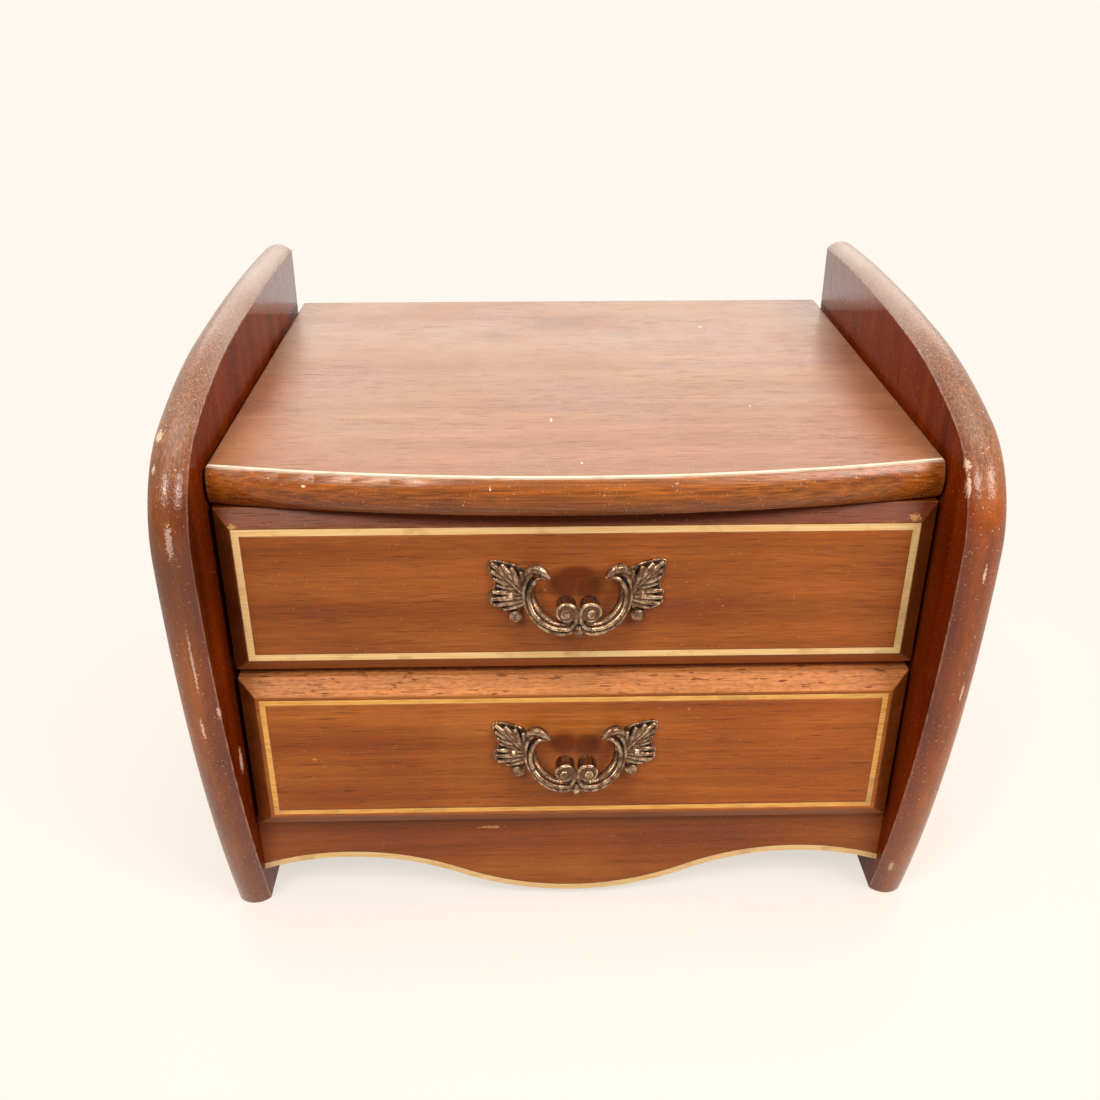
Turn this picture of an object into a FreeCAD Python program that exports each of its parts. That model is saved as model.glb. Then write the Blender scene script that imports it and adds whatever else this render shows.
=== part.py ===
import FreeCAD, Part
import os
import Sketcher
from math import atan2, hypot, sqrt

# Musical jewellery box: two shaped side panels carry a lift-up lid, a lined tray with a musical
# movement behind it, two drawers and a scalloped apron.
# Frame: X to the right, Y to the back, Z up, millimetres.
# The origin is on the floor, at the middle of the whole width and depth.

doc = FreeCAD.newDocument("MusicalJewelleryBox")
dim = doc.addObject("Spreadsheet::Sheet", "dim")

# Driving sizes, in millimetres unless the name says degrees or count
sizes = {
    # side panels
    "caseInside": 238.0,
    "panelThick": 12.0,
    "panelDepth": 201.6,
    "panelCrown": 2.8,
    "noseBelowLid": 22.0,
    "frontRadius": 496.0,
    "shoulderRadius": 36.0,
    "shoulderDegrees": 71.5,
    "browRadius": 230.0,
    "browDegrees": 85.6,
    "topRadius": 1060.0,
    # heights, from the floor up
    "bottomUnder": 37.3,
    "bottomThick": 6.0,
    "frontLift": 0.6,
    "lowerFrontHeight": 64.9,
    "frontGap": 3.6,
    "upperFrontHeight": 61.7,
    "lidGap": 0.9,
    "lidThick": 13.0,
    "dividerThick": 3.0,
    "trayDepth": 26.7,
    "trayFloorThick": 3.0,
    "backFromFloor": 31.0,
    # depths
    "faceSetback": 18.0,
    "frontThick": 12.0,
    "backThick": 9.0,
    "backRecess": 1.5,
    "musicDepth": 22.5,
    "partitionThick": 4.0,
    "railThick": 6.0,
    "railSetback": 2.1,
    # fits
    "slip": 0.05,
    "rest": 0.3,
    "dadoDepth": 3.0,
    # tray
    "traySideThick": 3.0,
    "trayDividerThick": 3.0,
    "ringWellWidth": 80.0,
    "frontWellDepth": 60.5,
    "liningThick": 1.2,
    "ringRollCount": 8,
    "ringRollBase": 7.0,
    "ringRollRadius": 8.6,
    "coverDrop": 2.7,
    "coverThick": 3.0,
    "cleatWidth": 6.0,
    "cleatHeight": 6.0,
    "soundSlotCount": 7,
    "soundSlotPitch": 5.0,
    "soundSlotWidth": 1.8,
    "soundSlotLength": 12.0,
    "soundSlotX": -12.0,
    # apron
    "apronSetback": 8.4,
    "apronThick": 9.0,
    "apronLobeHeight": 4.0,
    "apronCrestX": 86.0,
    "apronCrestHeight": 22.4,
    "apronCrestRadius": 103.0,
    "bandHeight": 2.5,
    "bandDepth": 1.6,
    "blockSide": 14.0,
    "blockHeight": 18.0,
    # drawers
    "drawerSideGap": 1.9,
    "bevelDepth": 4.0,
    "bevelWidth": 5.9,
    "boxSideThick": 5.0,
    "boxBackThick": 5.0,
    "boxBottomThick": 2.5,
    "boxBottomLift": 3.0,
    "boxGroove": 2.0,
    "upperBoxHeight": 28.0,
    "lowerBoxHeight": 48.0,
    "drawerLiningThick": 1.5,
    "stripeDepth": 1.0,
    "upperStripeWidth": 2.4,
    "upperStripeInset": 0.0,
    "lowerStripeWidth": 1.9,
    "lowerStripeInset": 1.3,
    # pulls, measured from the nail line at the middle of the pull
    "upperPullHeight": 32.0,
    "lowerPullHeight": 35.8,
    "leafThick": 2.2,
    "nailX": 22.0,
    "nailRadius": 0.7,
    "nailHeadRadius": 1.5,
    "nailHeadThick": 0.9,
    "nailLength": 9.0,
    "scrollX": 9.4,
    "scrollZ": 2.4,
    "scrollRadius": 7.6,
    "scrollWire": 1.9,
    "scrollStand": 8.4,
    "scrollLeanDegrees": 24.0,
    "scrollCurlDegrees": 112.0,
    "scrollFootDegrees": 105.0,
    "scrollPostDegrees": 50.0,
    "voluteX": 3.7,
    "voluteRadius": 3.3,
    "voluteBack": 9.0,
    "voluteFront": 15.4,
    "tailRadius": 1.7,
    "tailTop": -1.0,
    "tailFoot": -9.6,
    "tailStand": 12.9,
    "berryX": 20.2,
    "berryZ": -8.6,
    "berryRadius": 2.3,
    # lid
    "lidSideGap": 1.2,
    "lidSideRound": 1.0,
    "lidFrontReach": 6.1,
    "lidBow": 11.8,
    "lidCrown": 2.6,
    "lidOverhang": 8.0,
    "lidStripeWidth": 1.2,
    "lidStripeDepth": 0.6,
    "padThick": 1.6,
    "padSide": 11.0,
    "padFront": 8.0,
    "padRear": 4.0,
    "mirrorSideFrame": 33.0,
    "mirrorFrame": 15.25,
    "mirrorThick": 2.0,
    # hinges
    "hingeX": 70.0,
    "hingeHalf": 12.5,
    "hingeLidKnuckle": 4.3,
    "hingeCaseKnuckle": 4.5,
    "hingeLeafThick": 0.9,
    "hingeLeafInset": 2.0,
    "hingeBarrel": 1.8,
    "hingeBarrelGap": 0.3,
    "hingeBarrelPlay": 0.6,
    "hingePin": 0.9,
    "hingePinFit": 0.02,
    "hingePinPlay": 0.05,
    "hingePinHead": 1.4,
    "hingePinHeadThick": 0.7,
    "hingeScrewX": 8.4,
    "hingeScrewLength": 8.0,
    # screws
    "screwShank": 1.0,
    "screwHead": 1.9,
    "screwHeadThick": 0.9,
    "screwSlot": 0.4,
    "coverScrewLength": 7.0,
    "bedScrewShank": 1.3,
    "bedScrewHead": 2.7,
    "bedScrewHeadThick": 1.6,
    # musical movement, placed from the winding arbor
    "arborBelowCover": 23.0,
    "bedLeft": 15.0,
    "bedRight": 50.0,
    "bedHalfHeight": 20.0,
    "bedThick": 2.5,
    "bedScrewLeft": 11.0,
    "bedScrewRight": 46.0,
    "bedScrewRise": 16.0,
    "drumRadius": 10.5,
    "drumWall": 0.8,
    "drumDepth": 11.5,
    "springTurns": 5,
    "springStrip": 0.5,
    "springArborGap": 0.8,
    "springMargin": 0.8,
    "arborRadius": 2.0,
    "arborHole": 4.2,
    "arborFront": 1.0,
    "driveRadius": 14.4,
    "driveThick": 1.2,
    "driveFace": 3.2,
    "driveTeeth": 48,
    "driveToothDepth": 0.6,
    "driveToothGap": 0.8,
    "cylinderDepth": 7.5,
    "cylinderRadius": 6.5,
    "cylinderLeft": 17.8,
    "cylinderLength": 19.4,
    "shaftRadius": 1.0,
    "shaftSpare": 0.4,
    "pinRadius": 0.25,
    "pinReach": 0.35,
    "pinRoot": 0.5,
    "pinStepDegrees": 50.0,
    "pinsPerNote": 3,
    "noteCount": 18,
    "pinionLeft": 11.2,
    "pinionWidth": 3.0,
    "pinionRadius": 4.0,
    "pinionTeeth": 15,
    "pinionToothDepth": 0.9,
    "pinionToothGap": 0.8,
    "wormWheelLeft": 39.0,
    "wormWheelThick": 1.2,
    "wormWheelRadius": 5.5,
    "wormWheelTeeth": 20,
    "wormWheelToothDepth": 0.8,
    "wormWheelToothGap": 0.8,
    "postLeft": 15.3,
    "postThick": 1.8,
    "postRight": 41.2,
    "postHalf": 3.2,
    "combSide": 0.1,
    "combThick": 1.2,
    "combTipGap": 0.55,
    "combFoot": 19.2,
    "combRoot": 13.4,
    "combSlot": 0.3,
    "combScrewInset": 4.0,
    "smallScrewLength": 4.4,
    "governorShaft": 0.5,
    "governorSeat": 1.0,
    "wormRadius": 1.6,
    "wormLength": 6.0,
    "fanRadius": 5.0,
    "fanThick": 0.5,
    "fanDepth": 3.4,
    "bracketHalf": 2.2,
    "bracketThick": 1.2,
    "bracketLift": 2.0,
    "bracketFoot": 5.0,
    "bracketScrewBelow": 2.4,
    "bracketTabBack": 3.6,
    "plungerRadius": 0.8,
    "plungerPlay": 0.1,
    "plungerFront": 3.0,
    "plungerFanGap": 0.5,
    "plungerStroke": 3.0,
    "plungerCollar": 1.5,
    "plungerCollarThick": 1.0,
    # winding key
    "keyReach": 18.4,
    "keyHubRadius": 3.2,
    "keyHubGap": 1.2,
    "keyHubWall": 1.0,
    "keyBoreFit": 0.02,
    "keyNeck": 1.6,
    "keyWingThick": 2.0,
    "keyWingRadius": 6.0,
    "keyWingX": 5.5,
    "keyHole": 2.6,
}

for row, (alias, size) in enumerate(sizes.items(), start=1):
    dim.set(f"A{row}", alias)
    dim.set(f"B{row}", str(size))
    dim.setAlias(f"B{row}", alias)
doc.recompute()

pieces = []


def number(text):
    """The plain value that an expression has now."""
    found = dim.evalExpression(text)
    return float(getattr(found, "Value", found))


def count(alias):
    """A counted size, such as a number of teeth."""
    return int(round(number(f"dim.{alias}")))


def bind(thing, place, text):
    """Ties one property of an object to the sheet."""
    thing.setExpression(place, text)


def piece(thing, label):
    """Marks an object as a finished sub-part under the name of its file."""
    thing.Label = label
    pieces.append(thing)
    return thing


def both(half):
    """The span from minus to plus a half width."""
    return (f"-({half})", half)


def between(low, high):
    """A span's length."""
    return f"({high}) - ({low})"


def block(name, across, along, up):
    """A box between pairs of planes: its spans in X, Y and Z."""
    box = doc.addObject("Part::Box", name)
    for side, axis, span in zip(("Length", "Width", "Height"), "xyz", (across, along, up)):
        bind(box, side, between(*span))
        bind(box, f"Placement.Base.{axis}", span[0])
    return box


turns = {
    "X": FreeCAD.Rotation(FreeCAD.Vector(0, 1, 0), 90),
    "Y": FreeCAD.Rotation(FreeCAD.Vector(1, 0, 0), -90),
    "Z": FreeCAD.Rotation(),
}


def rod(name, axis, span, at, radius, endRadius=None):
    """A cylinder, or a cone, along one axis; at holds its place on the other two axes in X, Y, Z order."""
    kind = "Part::Cylinder" if endRadius is None else "Part::Cone"
    solid = doc.addObject(kind, name)
    solid.Placement = FreeCAD.Placement(FreeCAD.Vector(), turns[axis])
    if endRadius is None:
        bind(solid, "Radius", radius)
    else:
        bind(solid, "Radius1", radius)
        bind(solid, "Radius2", endRadius)
    bind(solid, "Height", between(*span))
    others = iter(at)
    for letter in "xyz":
        bind(solid, f"Placement.Base.{letter}", span[0] if letter.upper() == axis else next(others))
    return solid


def joined(name, solids):
    """Several solids made one."""
    fused = doc.addObject("Part::MultiFuse", name)
    fused.Shapes = solids
    return fused


def cut(name, base, tools):
    """A solid with the tools taken out of it."""
    done = doc.addObject("Part::Cut", name)
    done.Base = base
    done.Tool = tools[0] if len(tools) == 1 else joined(name + "Tools", tools)
    return done


def common(name, first, second):
    """What two solids share."""
    shared = doc.addObject("Part::Common", name)
    shared.Base = first
    shared.Tool = second
    return shared


def together(name, solids):
    """Separate solids kept as one group."""
    group = doc.addObject("Part::Compound", name)
    group.Links = solids
    return group


def planeOf(body, role):
    """One of a body's own origin planes or axes."""
    return next(datum for datum in body.Origin.OriginFeatures if datum.Role == role)


def newBody(name):
    """An empty body."""
    return doc.addObject("PartDesign::Body", name)


def newSketch(body, role, offset="0"):
    """A sketch on one of the body's planes, moved along the plane's normal."""
    sketch = body.newObject("Sketcher::SketchObject", body.Name + "Sketch")
    sketch.AttachmentSupport = [(planeOf(body, role), "")]
    sketch.MapMode = "FlatFace"
    bind(sketch, "AttachmentOffset.Base.z", offset)
    return sketch


def feature(body, kind, sketch, length=None):
    """A pad, pocket or other feature of a sketch."""
    made = body.newObject(f"PartDesign::{kind}", body.Name + kind)
    made.Profile = sketch
    if length is not None:
        bind(made, "Length", length)
    return made


def arcBetween(start, end, radius, left):
    """The shorter arc of a radius between two points, its centre on the left or the right of the way."""
    chord = [b - a for a, b in zip(start, end)]
    length = hypot(*chord)
    rise = sqrt(radius * radius - length * length / 4)
    side = rise / length if left else -rise / length
    middle = [(a + b) / 2 for a, b in zip(start, end)]
    centre = FreeCAD.Vector(middle[0] - side * chord[1], middle[1] + side * chord[0], 0)
    angles = [atan2(point[1] - centre.y, point[0] - centre.x) for point in (start, end)]
    circle = Part.Circle(centre, FreeCAD.Vector(0, 0, 1), radius)
    if left:
        return Part.ArcOfCircle(circle, angles[0], angles[1])
    return Part.ArcOfCircle(circle, angles[1], angles[0])


def outline(sketch, corners, closed=True):
    """Draws an outline whose corners and arc radii are tied to the sheet.

    A corner is (x, y) before a straight run, or (x, y, radius, side) before an arc whose centre is
    to the left or right of the way to the next corner.
    """
    spots = [(number(corner[0]), number(corner[1])) for corner in corners]
    runs = len(corners) if closed else len(corners) - 1
    ends = []
    for index in range(runs):
        start = spots[index]
        end = spots[(index + 1) % len(spots)]
        if len(corners[index]) == 2:
            line = Part.LineSegment(FreeCAD.Vector(*start, 0), FreeCAD.Vector(*end, 0))
            ends.append((sketch.addGeometry(line, False), 1, 2))
            continue
        radius, side = corners[index][2:]
        edge = sketch.addGeometry(arcBetween(start, end, number(radius), side == "left"), False)
        ends.append((edge, 1, 2) if side == "left" else (edge, 2, 1))
        rule = sketch.addConstraint(Sketcher.Constraint("Radius", edge, number(radius)))
        bind(sketch, f"Constraints[{rule}]", radius)
    for index in range(runs if closed else runs - 1):
        edge, _, tail = ends[index]
        following, head, _ = ends[(index + 1) % runs]
        sketch.addConstraint(Sketcher.Constraint("Coincident", edge, tail, following, head))
    for index, corner in enumerate(corners):
        edge, head, tail = ends[min(index, runs - 1)]
        point = head if index < runs else tail
        for kind, text, value in zip(("DistanceX", "DistanceY"), corner, spots[index]):
            rule = sketch.addConstraint(Sketcher.Constraint(kind, -1, 1, edge, point, value))
            bind(sketch, f"Constraints[{rule}]", text)


def rectangle(sketch, across, up):
    """An outline between two pairs of lines."""
    outline(sketch, [(across[0], up[0]), (across[1], up[0]), (across[1], up[1]), (across[0], up[1])])


def circle(sketch, x, y, radius):
    """A circle tied to the sheet."""
    centre = FreeCAD.Vector(number(x), number(y), 0)
    ring = Part.Circle(centre, FreeCAD.Vector(0, 0, 1), number(radius))
    edge = sketch.addGeometry(ring, False)
    middle = (-1, 1, edge, 3)
    rules = [("Radius", (edge,), radius), ("DistanceX", middle, x), ("DistanceY", middle, y)]
    for kind, where, text in rules:
        rule = sketch.addConstraint(Sketcher.Constraint(kind, *where, number(text)))
        bind(sketch, f"Constraints[{rule}]", text)


def crownRadius(rise, width):
    """The radius of an arc that rises this much over this width."""
    return f"(({rise}) ^ 2 + (({width}) / 2) ^ 2) / (2 * ({rise}))"


# Places that several pieces share
halfInside = "(dim.caseInside / 2)"
halfBoard = f"({halfInside} + dim.dadoDepth - dim.slip)"
boxHalfDepth = "((dim.panelDepth + dim.panelCrown + dim.keyReach) / 2)"
rearY = f"({boxHalfDepth} - dim.keyReach)"
noseY = f"({rearY} - dim.panelDepth)"
faceY = f"({noseY} + dim.faceSetback)"
frontBackY = f"({faceY} + dim.frontThick)"
dividerFrontY = f"({frontBackY} + dim.rest)"
backOuterY = f"({rearY} - dim.backRecess)"
backInnerY = f"({backOuterY} - dim.backThick)"
partitionBackY = f"({backInnerY} - dim.musicDepth)"
partitionY = f"({partitionBackY} - dim.partitionThick)"
railY = f"({frontBackY} + dim.railSetback)"
railBackY = f"({railY} + dim.railThick)"
apronY = f"({faceY} + dim.apronSetback)"
apronBackY = f"({apronY} + dim.apronThick)"
bottomTop = "(dim.bottomUnder + dim.bottomThick)"
lowerFrontZ = f"({bottomTop} + dim.frontLift)"
upperFrontZ = f"({lowerFrontZ} + dim.lowerFrontHeight + dim.frontGap)"
dividerTop = f"({upperFrontZ} - dim.frontLift)"
dividerUnder = f"({dividerTop} - dim.dividerThick)"
lidZ = f"({upperFrontZ} + dim.upperFrontHeight + dim.lidGap)"
lidTop = f"({lidZ} + dim.lidThick)"
noseZ = f"({lidTop} - dim.noseBelowLid)"
rimZ = f"({lidZ} - dim.rest)"
trayTop = f"({rimZ} - dim.trayDepth)"
trayUnder = f"({trayTop} - dim.trayFloorThick)"
coverTop = f"({rimZ} - dim.coverDrop)"
coverUnder = f"({coverTop} - dim.coverThick)"
halfWell = f"({halfInside} - dim.traySideThick)"
ringWallX = f"(-({halfWell}) + dim.ringWellWidth)"
rightWellX = f"({ringWallX} + dim.trayDividerThick)"
crossWallY = f"({railBackY} + dim.frontWellDepth)"
rearWellY = f"({crossWallY} + dim.trayDividerThick)"
arborZ = f"({coverUnder} - dim.arborBelowCover)"
bedFrontY = f"({backInnerY} - dim.bedThick)"
cylinderY = f"({bedFrontY} - dim.cylinderDepth)"
governorX = "(dim.wormWheelLeft + dim.wormWheelThick / 2)"
plungerY = f"({partitionBackY} + dim.plungerFront)"
hingeY = f"({backOuterY} + dim.hingeBarrel + dim.hingeBarrelGap)"
hingeZ = f"({rimZ} + dim.rest / 2)"
barrelRoom = "(dim.hingeBarrel + dim.hingeBarrelPlay)"
leafY = f"({backInnerY} + dim.hingeLeafInset)"
hingeScrewY = f"(({leafY} + {backOuterY}) / 2)"


# Side panels: a board whose front and top follow four tangent arcs, with a crowned edge
shoulderTurn = "(dim.shoulderDegrees * 1 deg)"
browTurn = "(dim.browDegrees * 1 deg)"
floorY = f"({noseY} + dim.frontRadius - sqrt(dim.frontRadius ^ 2 - {noseZ} ^ 2))"
shoulderY = f"({noseY} + dim.shoulderRadius * (1 - cos({shoulderTurn})))"
shoulderZ = f"({noseZ} + dim.shoulderRadius * sin({shoulderTurn}))"
browCentreY = f"({noseY} + dim.shoulderRadius + (dim.browRadius - dim.shoulderRadius) * cos({shoulderTurn}))"
browCentreZ = f"({noseZ} - (dim.browRadius - dim.shoulderRadius) * sin({shoulderTurn}))"
browY = f"({browCentreY} - dim.browRadius * cos({browTurn}))"
browZ = f"({browCentreZ} + dim.browRadius * sin({browTurn}))"
topCentreY = f"({browCentreY} + (dim.topRadius - dim.browRadius) * cos({browTurn}))"
topCentreZ = f"({browCentreZ} - (dim.topRadius - dim.browRadius) * sin({browTurn}))"
rearTopZ = f"({topCentreZ} + sqrt(dim.topRadius ^ 2 - ({rearY} - {topCentreY}) ^ 2))"
panelEdge = [
    (floorY, "0", "dim.frontRadius", "right"),
    (noseY, noseZ, "dim.shoulderRadius", "right"),
    (shoulderY, shoulderZ, "dim.browRadius", "right"),
    (browY, browZ, "dim.topRadius", "right"),
    (rearY, rearTopZ),
]


def grooved(low, high):
    """The span of a dado that holds a board with a little room on each side."""
    return (f"{low} - dim.slip", f"{high} + dim.slip")


def sidePanel(label, name, boardX, grooveX):
    body = newBody(name + "Board")
    bind(body, "Placement.Base.x", boardX)
    board = newSketch(body, "YZ_Plane")
    outline(board, panelEdge + [(rearY, "0")])
    feature(body, "Pad", board, "dim.panelThick")
    path = newSketch(body, "YZ_Plane")
    outline(path, panelEdge, closed=False)
    crown = newSketch(body, "XY_Plane", noseZ)
    crownArc = ("0", noseY, crownRadius("dim.panelCrown", "dim.panelThick"), "left")
    outline(crown, [crownArc, ("dim.panelThick", noseY)])
    doc.recompute()
    sweep = feature(body, "AdditivePipe", crown)
    sweep.Spine = (path, [f"Edge{index + 1}" for index in range(len(path.Shape.Edges))])
    # the crown's ends are trimmed to the floor and the rear edge
    boardSpan = (f"{boardX} - dim.panelCrown", f"{boardX} + dim.panelThick + dim.panelCrown")
    everyDepth = (f"{noseY} - 2 * dim.panelCrown", f"{rearY} + 2 * dim.panelCrown")
    trims = [
        block(name + "Floor", boardSpan, everyDepth, ("-2 * dim.panelCrown", "0")),
        block(name + "Rear", boardSpan, (rearY, everyDepth[1]), ("0", f"{rearTopZ} + 2 * dim.panelCrown")),
    ]
    # dados for the back, bottom, divider, tray floor and partition
    dados = [
        ((backInnerY, backOuterY), ("dim.backFromFloor", rimZ)),
        ((apronBackY, backInnerY), ("dim.bottomUnder", bottomTop)),
        ((dividerFrontY, backInnerY), (dividerUnder, dividerTop)),
        ((railY, partitionY), (trayUnder, trayTop)),
        ((partitionY, partitionBackY), (dividerTop, coverUnder)),
    ]
    for index, (along, up) in enumerate(dados):
        trims.append(block(f"{name}Dado{index}", grooveX, grooved(*along), grooved(*up)))
    return piece(cut(name, body, trims), label)


leftBoardX = f"-{halfInside} - dim.panelThick"
sidePanel("side_panel_left", "LeftPanel", leftBoardX, (f"-{halfInside} - dim.dadoDepth", f"-{halfInside}"))
sidePanel("side_panel_right", "RightPanel", halfInside, (halfInside, f"{halfInside} + dim.dadoDepth"))


# Screws: a head and a shank along one axis, with a slot across the head
def screw(name, axis, head, way, at, headRadius, headThick, shankRadius, length, sunk):
    """head is the outer face of the head, and way is 1 or -1, the way that the shank points."""
    seat = f"({head} + ({way}) * ({headThick}))"
    tip = f"({head} + ({way}) * ({length}))"
    shank = rod(name + "Shank", axis, (seat, tip) if way > 0 else (tip, seat), at, shankRadius)
    headSpan = (head, seat) if way > 0 else (seat, head)
    if sunk:
        radii = (headRadius, shankRadius) if way > 0 else (shankRadius, headRadius)
        top = rod(name + "Head", axis, headSpan, at, *radii)
    else:
        top = rod(name + "Head", axis, headSpan, at, headRadius)
    slotEnd = f"({head} + ({way}) * dim.screwSlot)"
    slotDepth = (head, slotEnd) if way > 0 else (slotEnd, head)
    spans = []
    others = iter(at)
    for letter in "XYZ":
        if letter == axis:
            spans.append(slotDepth)
            continue
        middle = next(others)
        wide = headRadius if letter == "X" else "dim.screwSlot / 2"
        spans.append((f"{middle} - {wide}", f"{middle} + {wide}"))
    return cut(name, joined(name + "Blank", [shank, top]), [block(name + "Slot", *spans)])


def sink(name, axis, head, way, at, headRadius, headThick, shankRadius, length):
    """The hole and countersink for a sunk screw, a little larger than the screw."""
    seat = f"({head} + ({way}) * ({headThick}))"
    tip = f"({head} + ({way}) * ({length} + dim.rest))"
    wide = f"{headRadius} + dim.slip"
    narrow = f"{shankRadius} + dim.slip"
    sinkSpan, holeSpan, radii = (head, seat), (head, tip), (wide, narrow)
    if way < 0:
        sinkSpan, holeSpan, radii = (seat, head), (tip, head), (narrow, wide)
    return [rod(name + "Sink", axis, sinkSpan, at, *radii), rod(name + "Hole", axis, holeSpan, at, narrow)]


hingeSides = ("-dim.hingeX", "dim.hingeX")
hingeScrewXs = [f"({side} + ({way}) * dim.hingeScrewX)" for side in hingeSides for way in (-1, 1)]
hingeScrewSpots = [(x, hingeScrewY) for x in hingeScrewXs]
hingeScrew = ("dim.screwHead", "dim.screwHeadThick", "dim.screwShank", "dim.hingeScrewLength")
bedScrewSpots = [
    ("-dim.bedScrewLeft", f"({arborZ} - dim.bedScrewRise)"),
    ("-dim.bedScrewLeft", f"({arborZ} + dim.bedScrewRise)"),
    ("dim.bedScrewRight", f"({arborZ} - dim.bedScrewRise)"),
]
bedScrewHole = "dim.bedScrewShank + dim.slip"


# Case boards
def backPanel():
    board = block("BackBlank", both(halfBoard), (backInnerY, backOuterY), ("dim.backFromFloor", rimZ))
    openTop = f"{rimZ} + dim.hingeLeafThick"
    through = (f"{backInnerY} - 1", f"{backOuterY} + 1")
    cuts = [rod("BackArborHole", "Y", through, ("0", arborZ), "dim.arborHole")]
    for index, side in enumerate(hingeSides):
        across = (f"{side} - dim.hingeHalf - dim.slip", f"{side} + dim.hingeHalf + dim.slip")
        mortise = (f"{leafY} - dim.slip", f"{backOuterY} + 1")
        cuts.append(block(f"BackMortise{index}", across, mortise, (f"{rimZ} - dim.hingeLeafThick", openTop)))
    for index, spot in enumerate(hingeScrewSpots):
        tip = f"{rimZ} - dim.hingeScrewLength - dim.rest"
        cuts.append(rod(f"BackPilot{index}", "Z", (tip, rimZ), spot, "dim.screwShank + dim.slip"))
    for index, spot in enumerate(bedScrewSpots):
        cuts.append(rod(f"BackBedHole{index}", "Y", through, spot, bedScrewHole))
    return piece(cut("Back", board, cuts), "back_panel")


def musicCover():
    board = block("CoverBlank", both(f"{halfInside} - dim.rest"), coverSpan, (coverUnder, coverTop))
    through = (f"{coverUnder} - 1", f"{coverTop} + 1")
    cuts = [rod("CoverPlungerHole", "Z", through, (governorX, plungerY), "dim.plungerRadius + dim.rest")]
    slotY = (f"{coverMiddleY} - dim.soundSlotLength / 2", f"{coverMiddleY} + dim.soundSlotLength / 2")
    for index in range(count("soundSlotCount")):
        middle = f"dim.soundSlotX + ({index} - (dim.soundSlotCount - 1) / 2) * dim.soundSlotPitch"
        across = (f"{middle} - dim.soundSlotWidth / 2", f"{middle} + dim.soundSlotWidth / 2")
        cuts.append(block(f"CoverSlot{index}", across, slotY, through))
    for index, spot in enumerate(coverScrewSpots):
        cuts += sink(f"Cover{index}", "Z", coverTop, -1, spot, *coverScrew)
    return piece(cut("Cover", board, cuts), "music_cover")


def coverCleats():
    cleats = []
    along = (partitionBackY, backInnerY)
    up = (f"{coverUnder} - dim.cleatHeight", coverUnder)
    for name, way in (("Left", -1), ("Right", 1)):
        outer = f"{way} * {halfInside}"
        inner = f"{way} * ({halfInside} - dim.cleatWidth)"
        across = (outer, inner) if way < 0 else (inner, outer)
        wood = block(name + "CleatBlank", across, along, up)
        spots = [spot for spot, side in zip(coverScrewSpots, (-1, -1, 1, 1)) if side == way]
        tip = f"{coverTop} - dim.coverScrewLength - dim.rest"
        holes = [
            rod(f"{name}CleatHole{index}", "Z", (tip, coverUnder), spot, "dim.screwShank + dim.slip")
            for index, spot in enumerate(spots)
        ]
        cleats.append(cut(name + "Cleat", wood, holes))
    return piece(together("Cleats", cleats), "cover_cleats")


coverSpan = (f"({partitionY} + dim.rest)", f"({backInnerY} - dim.rest)")
coverMiddleY = f"(({coverSpan[0]} + {coverSpan[1]}) / 2)"
coverScrewX = f"({halfInside} - dim.cleatWidth / 2)"
coverScrewRows = (f"({partitionBackY} + dim.cleatWidth)", f"({backInnerY} - dim.cleatWidth)")
coverScrewSpots = [(f"{way} * {coverScrewX}", rowY) for way in (-1, 1) for rowY in coverScrewRows]
coverScrew = ("dim.screwHead", "dim.screwHeadThick", "dim.screwShank", "dim.coverScrewLength")

backPanel()
caseBoards = [
    ("bottom_board", "Bottom", (apronBackY, backInnerY), ("dim.bottomUnder", bottomTop)),
    ("divider_board", "Divider", (dividerFrontY, backInnerY), (dividerUnder, dividerTop)),
    ("tray_floor", "TrayFloor", (railY, partitionY), (trayUnder, trayTop)),
    ("music_partition", "Partition", (partitionY, partitionBackY), (dividerTop, coverUnder)),
]
for label, name, along, up in caseBoards:
    piece(block(name, both(halfBoard), along, up), label)
piece(block("FrontRail", both(halfInside), (railY, railBackY), (trayTop, rimZ)), "tray_front_rail")
traySide = ((railBackY, partitionY), (trayTop, rimZ))
piece(block("TrayLeft", (f"-{halfInside}", f"-{halfWell}"), *traySide), "tray_side_left")
piece(block("TrayRight", (halfWell, halfInside), *traySide), "tray_side_right")
trayWall = (trayTop, coverTop)
piece(block("RingWall", (ringWallX, rightWellX), (railBackY, partitionY), trayWall), "tray_divider_long")
piece(block("CrossWall", (rightWellX, halfWell), (crossWallY, rearWellY), trayWall), "tray_divider_cross")
musicCover()
coverCleats()
coverScrews = [
    screw(f"CoverScrew{index}", "Z", coverTop, -1, spot, *coverScrew, True)
    for index, spot in enumerate(coverScrewSpots)
]
piece(together("CoverScrews", coverScrews), "cover_screws")


# Tray linings and the ring cushion
def trayLining():
    up = (trayTop, f"{trayTop} + dim.liningThick")
    across = (f"{rightWellX} + dim.rest", f"{halfWell} - dim.rest")
    pads = [
        block("LiningFront", across, (f"{railBackY} + dim.rest", f"{crossWallY} - dim.rest"), up),
        block("LiningRear", across, (f"{rearWellY} + dim.rest", f"{partitionY} - dim.rest"), up),
    ]
    return piece(together("TrayLining", pads), "tray_lining")


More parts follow.
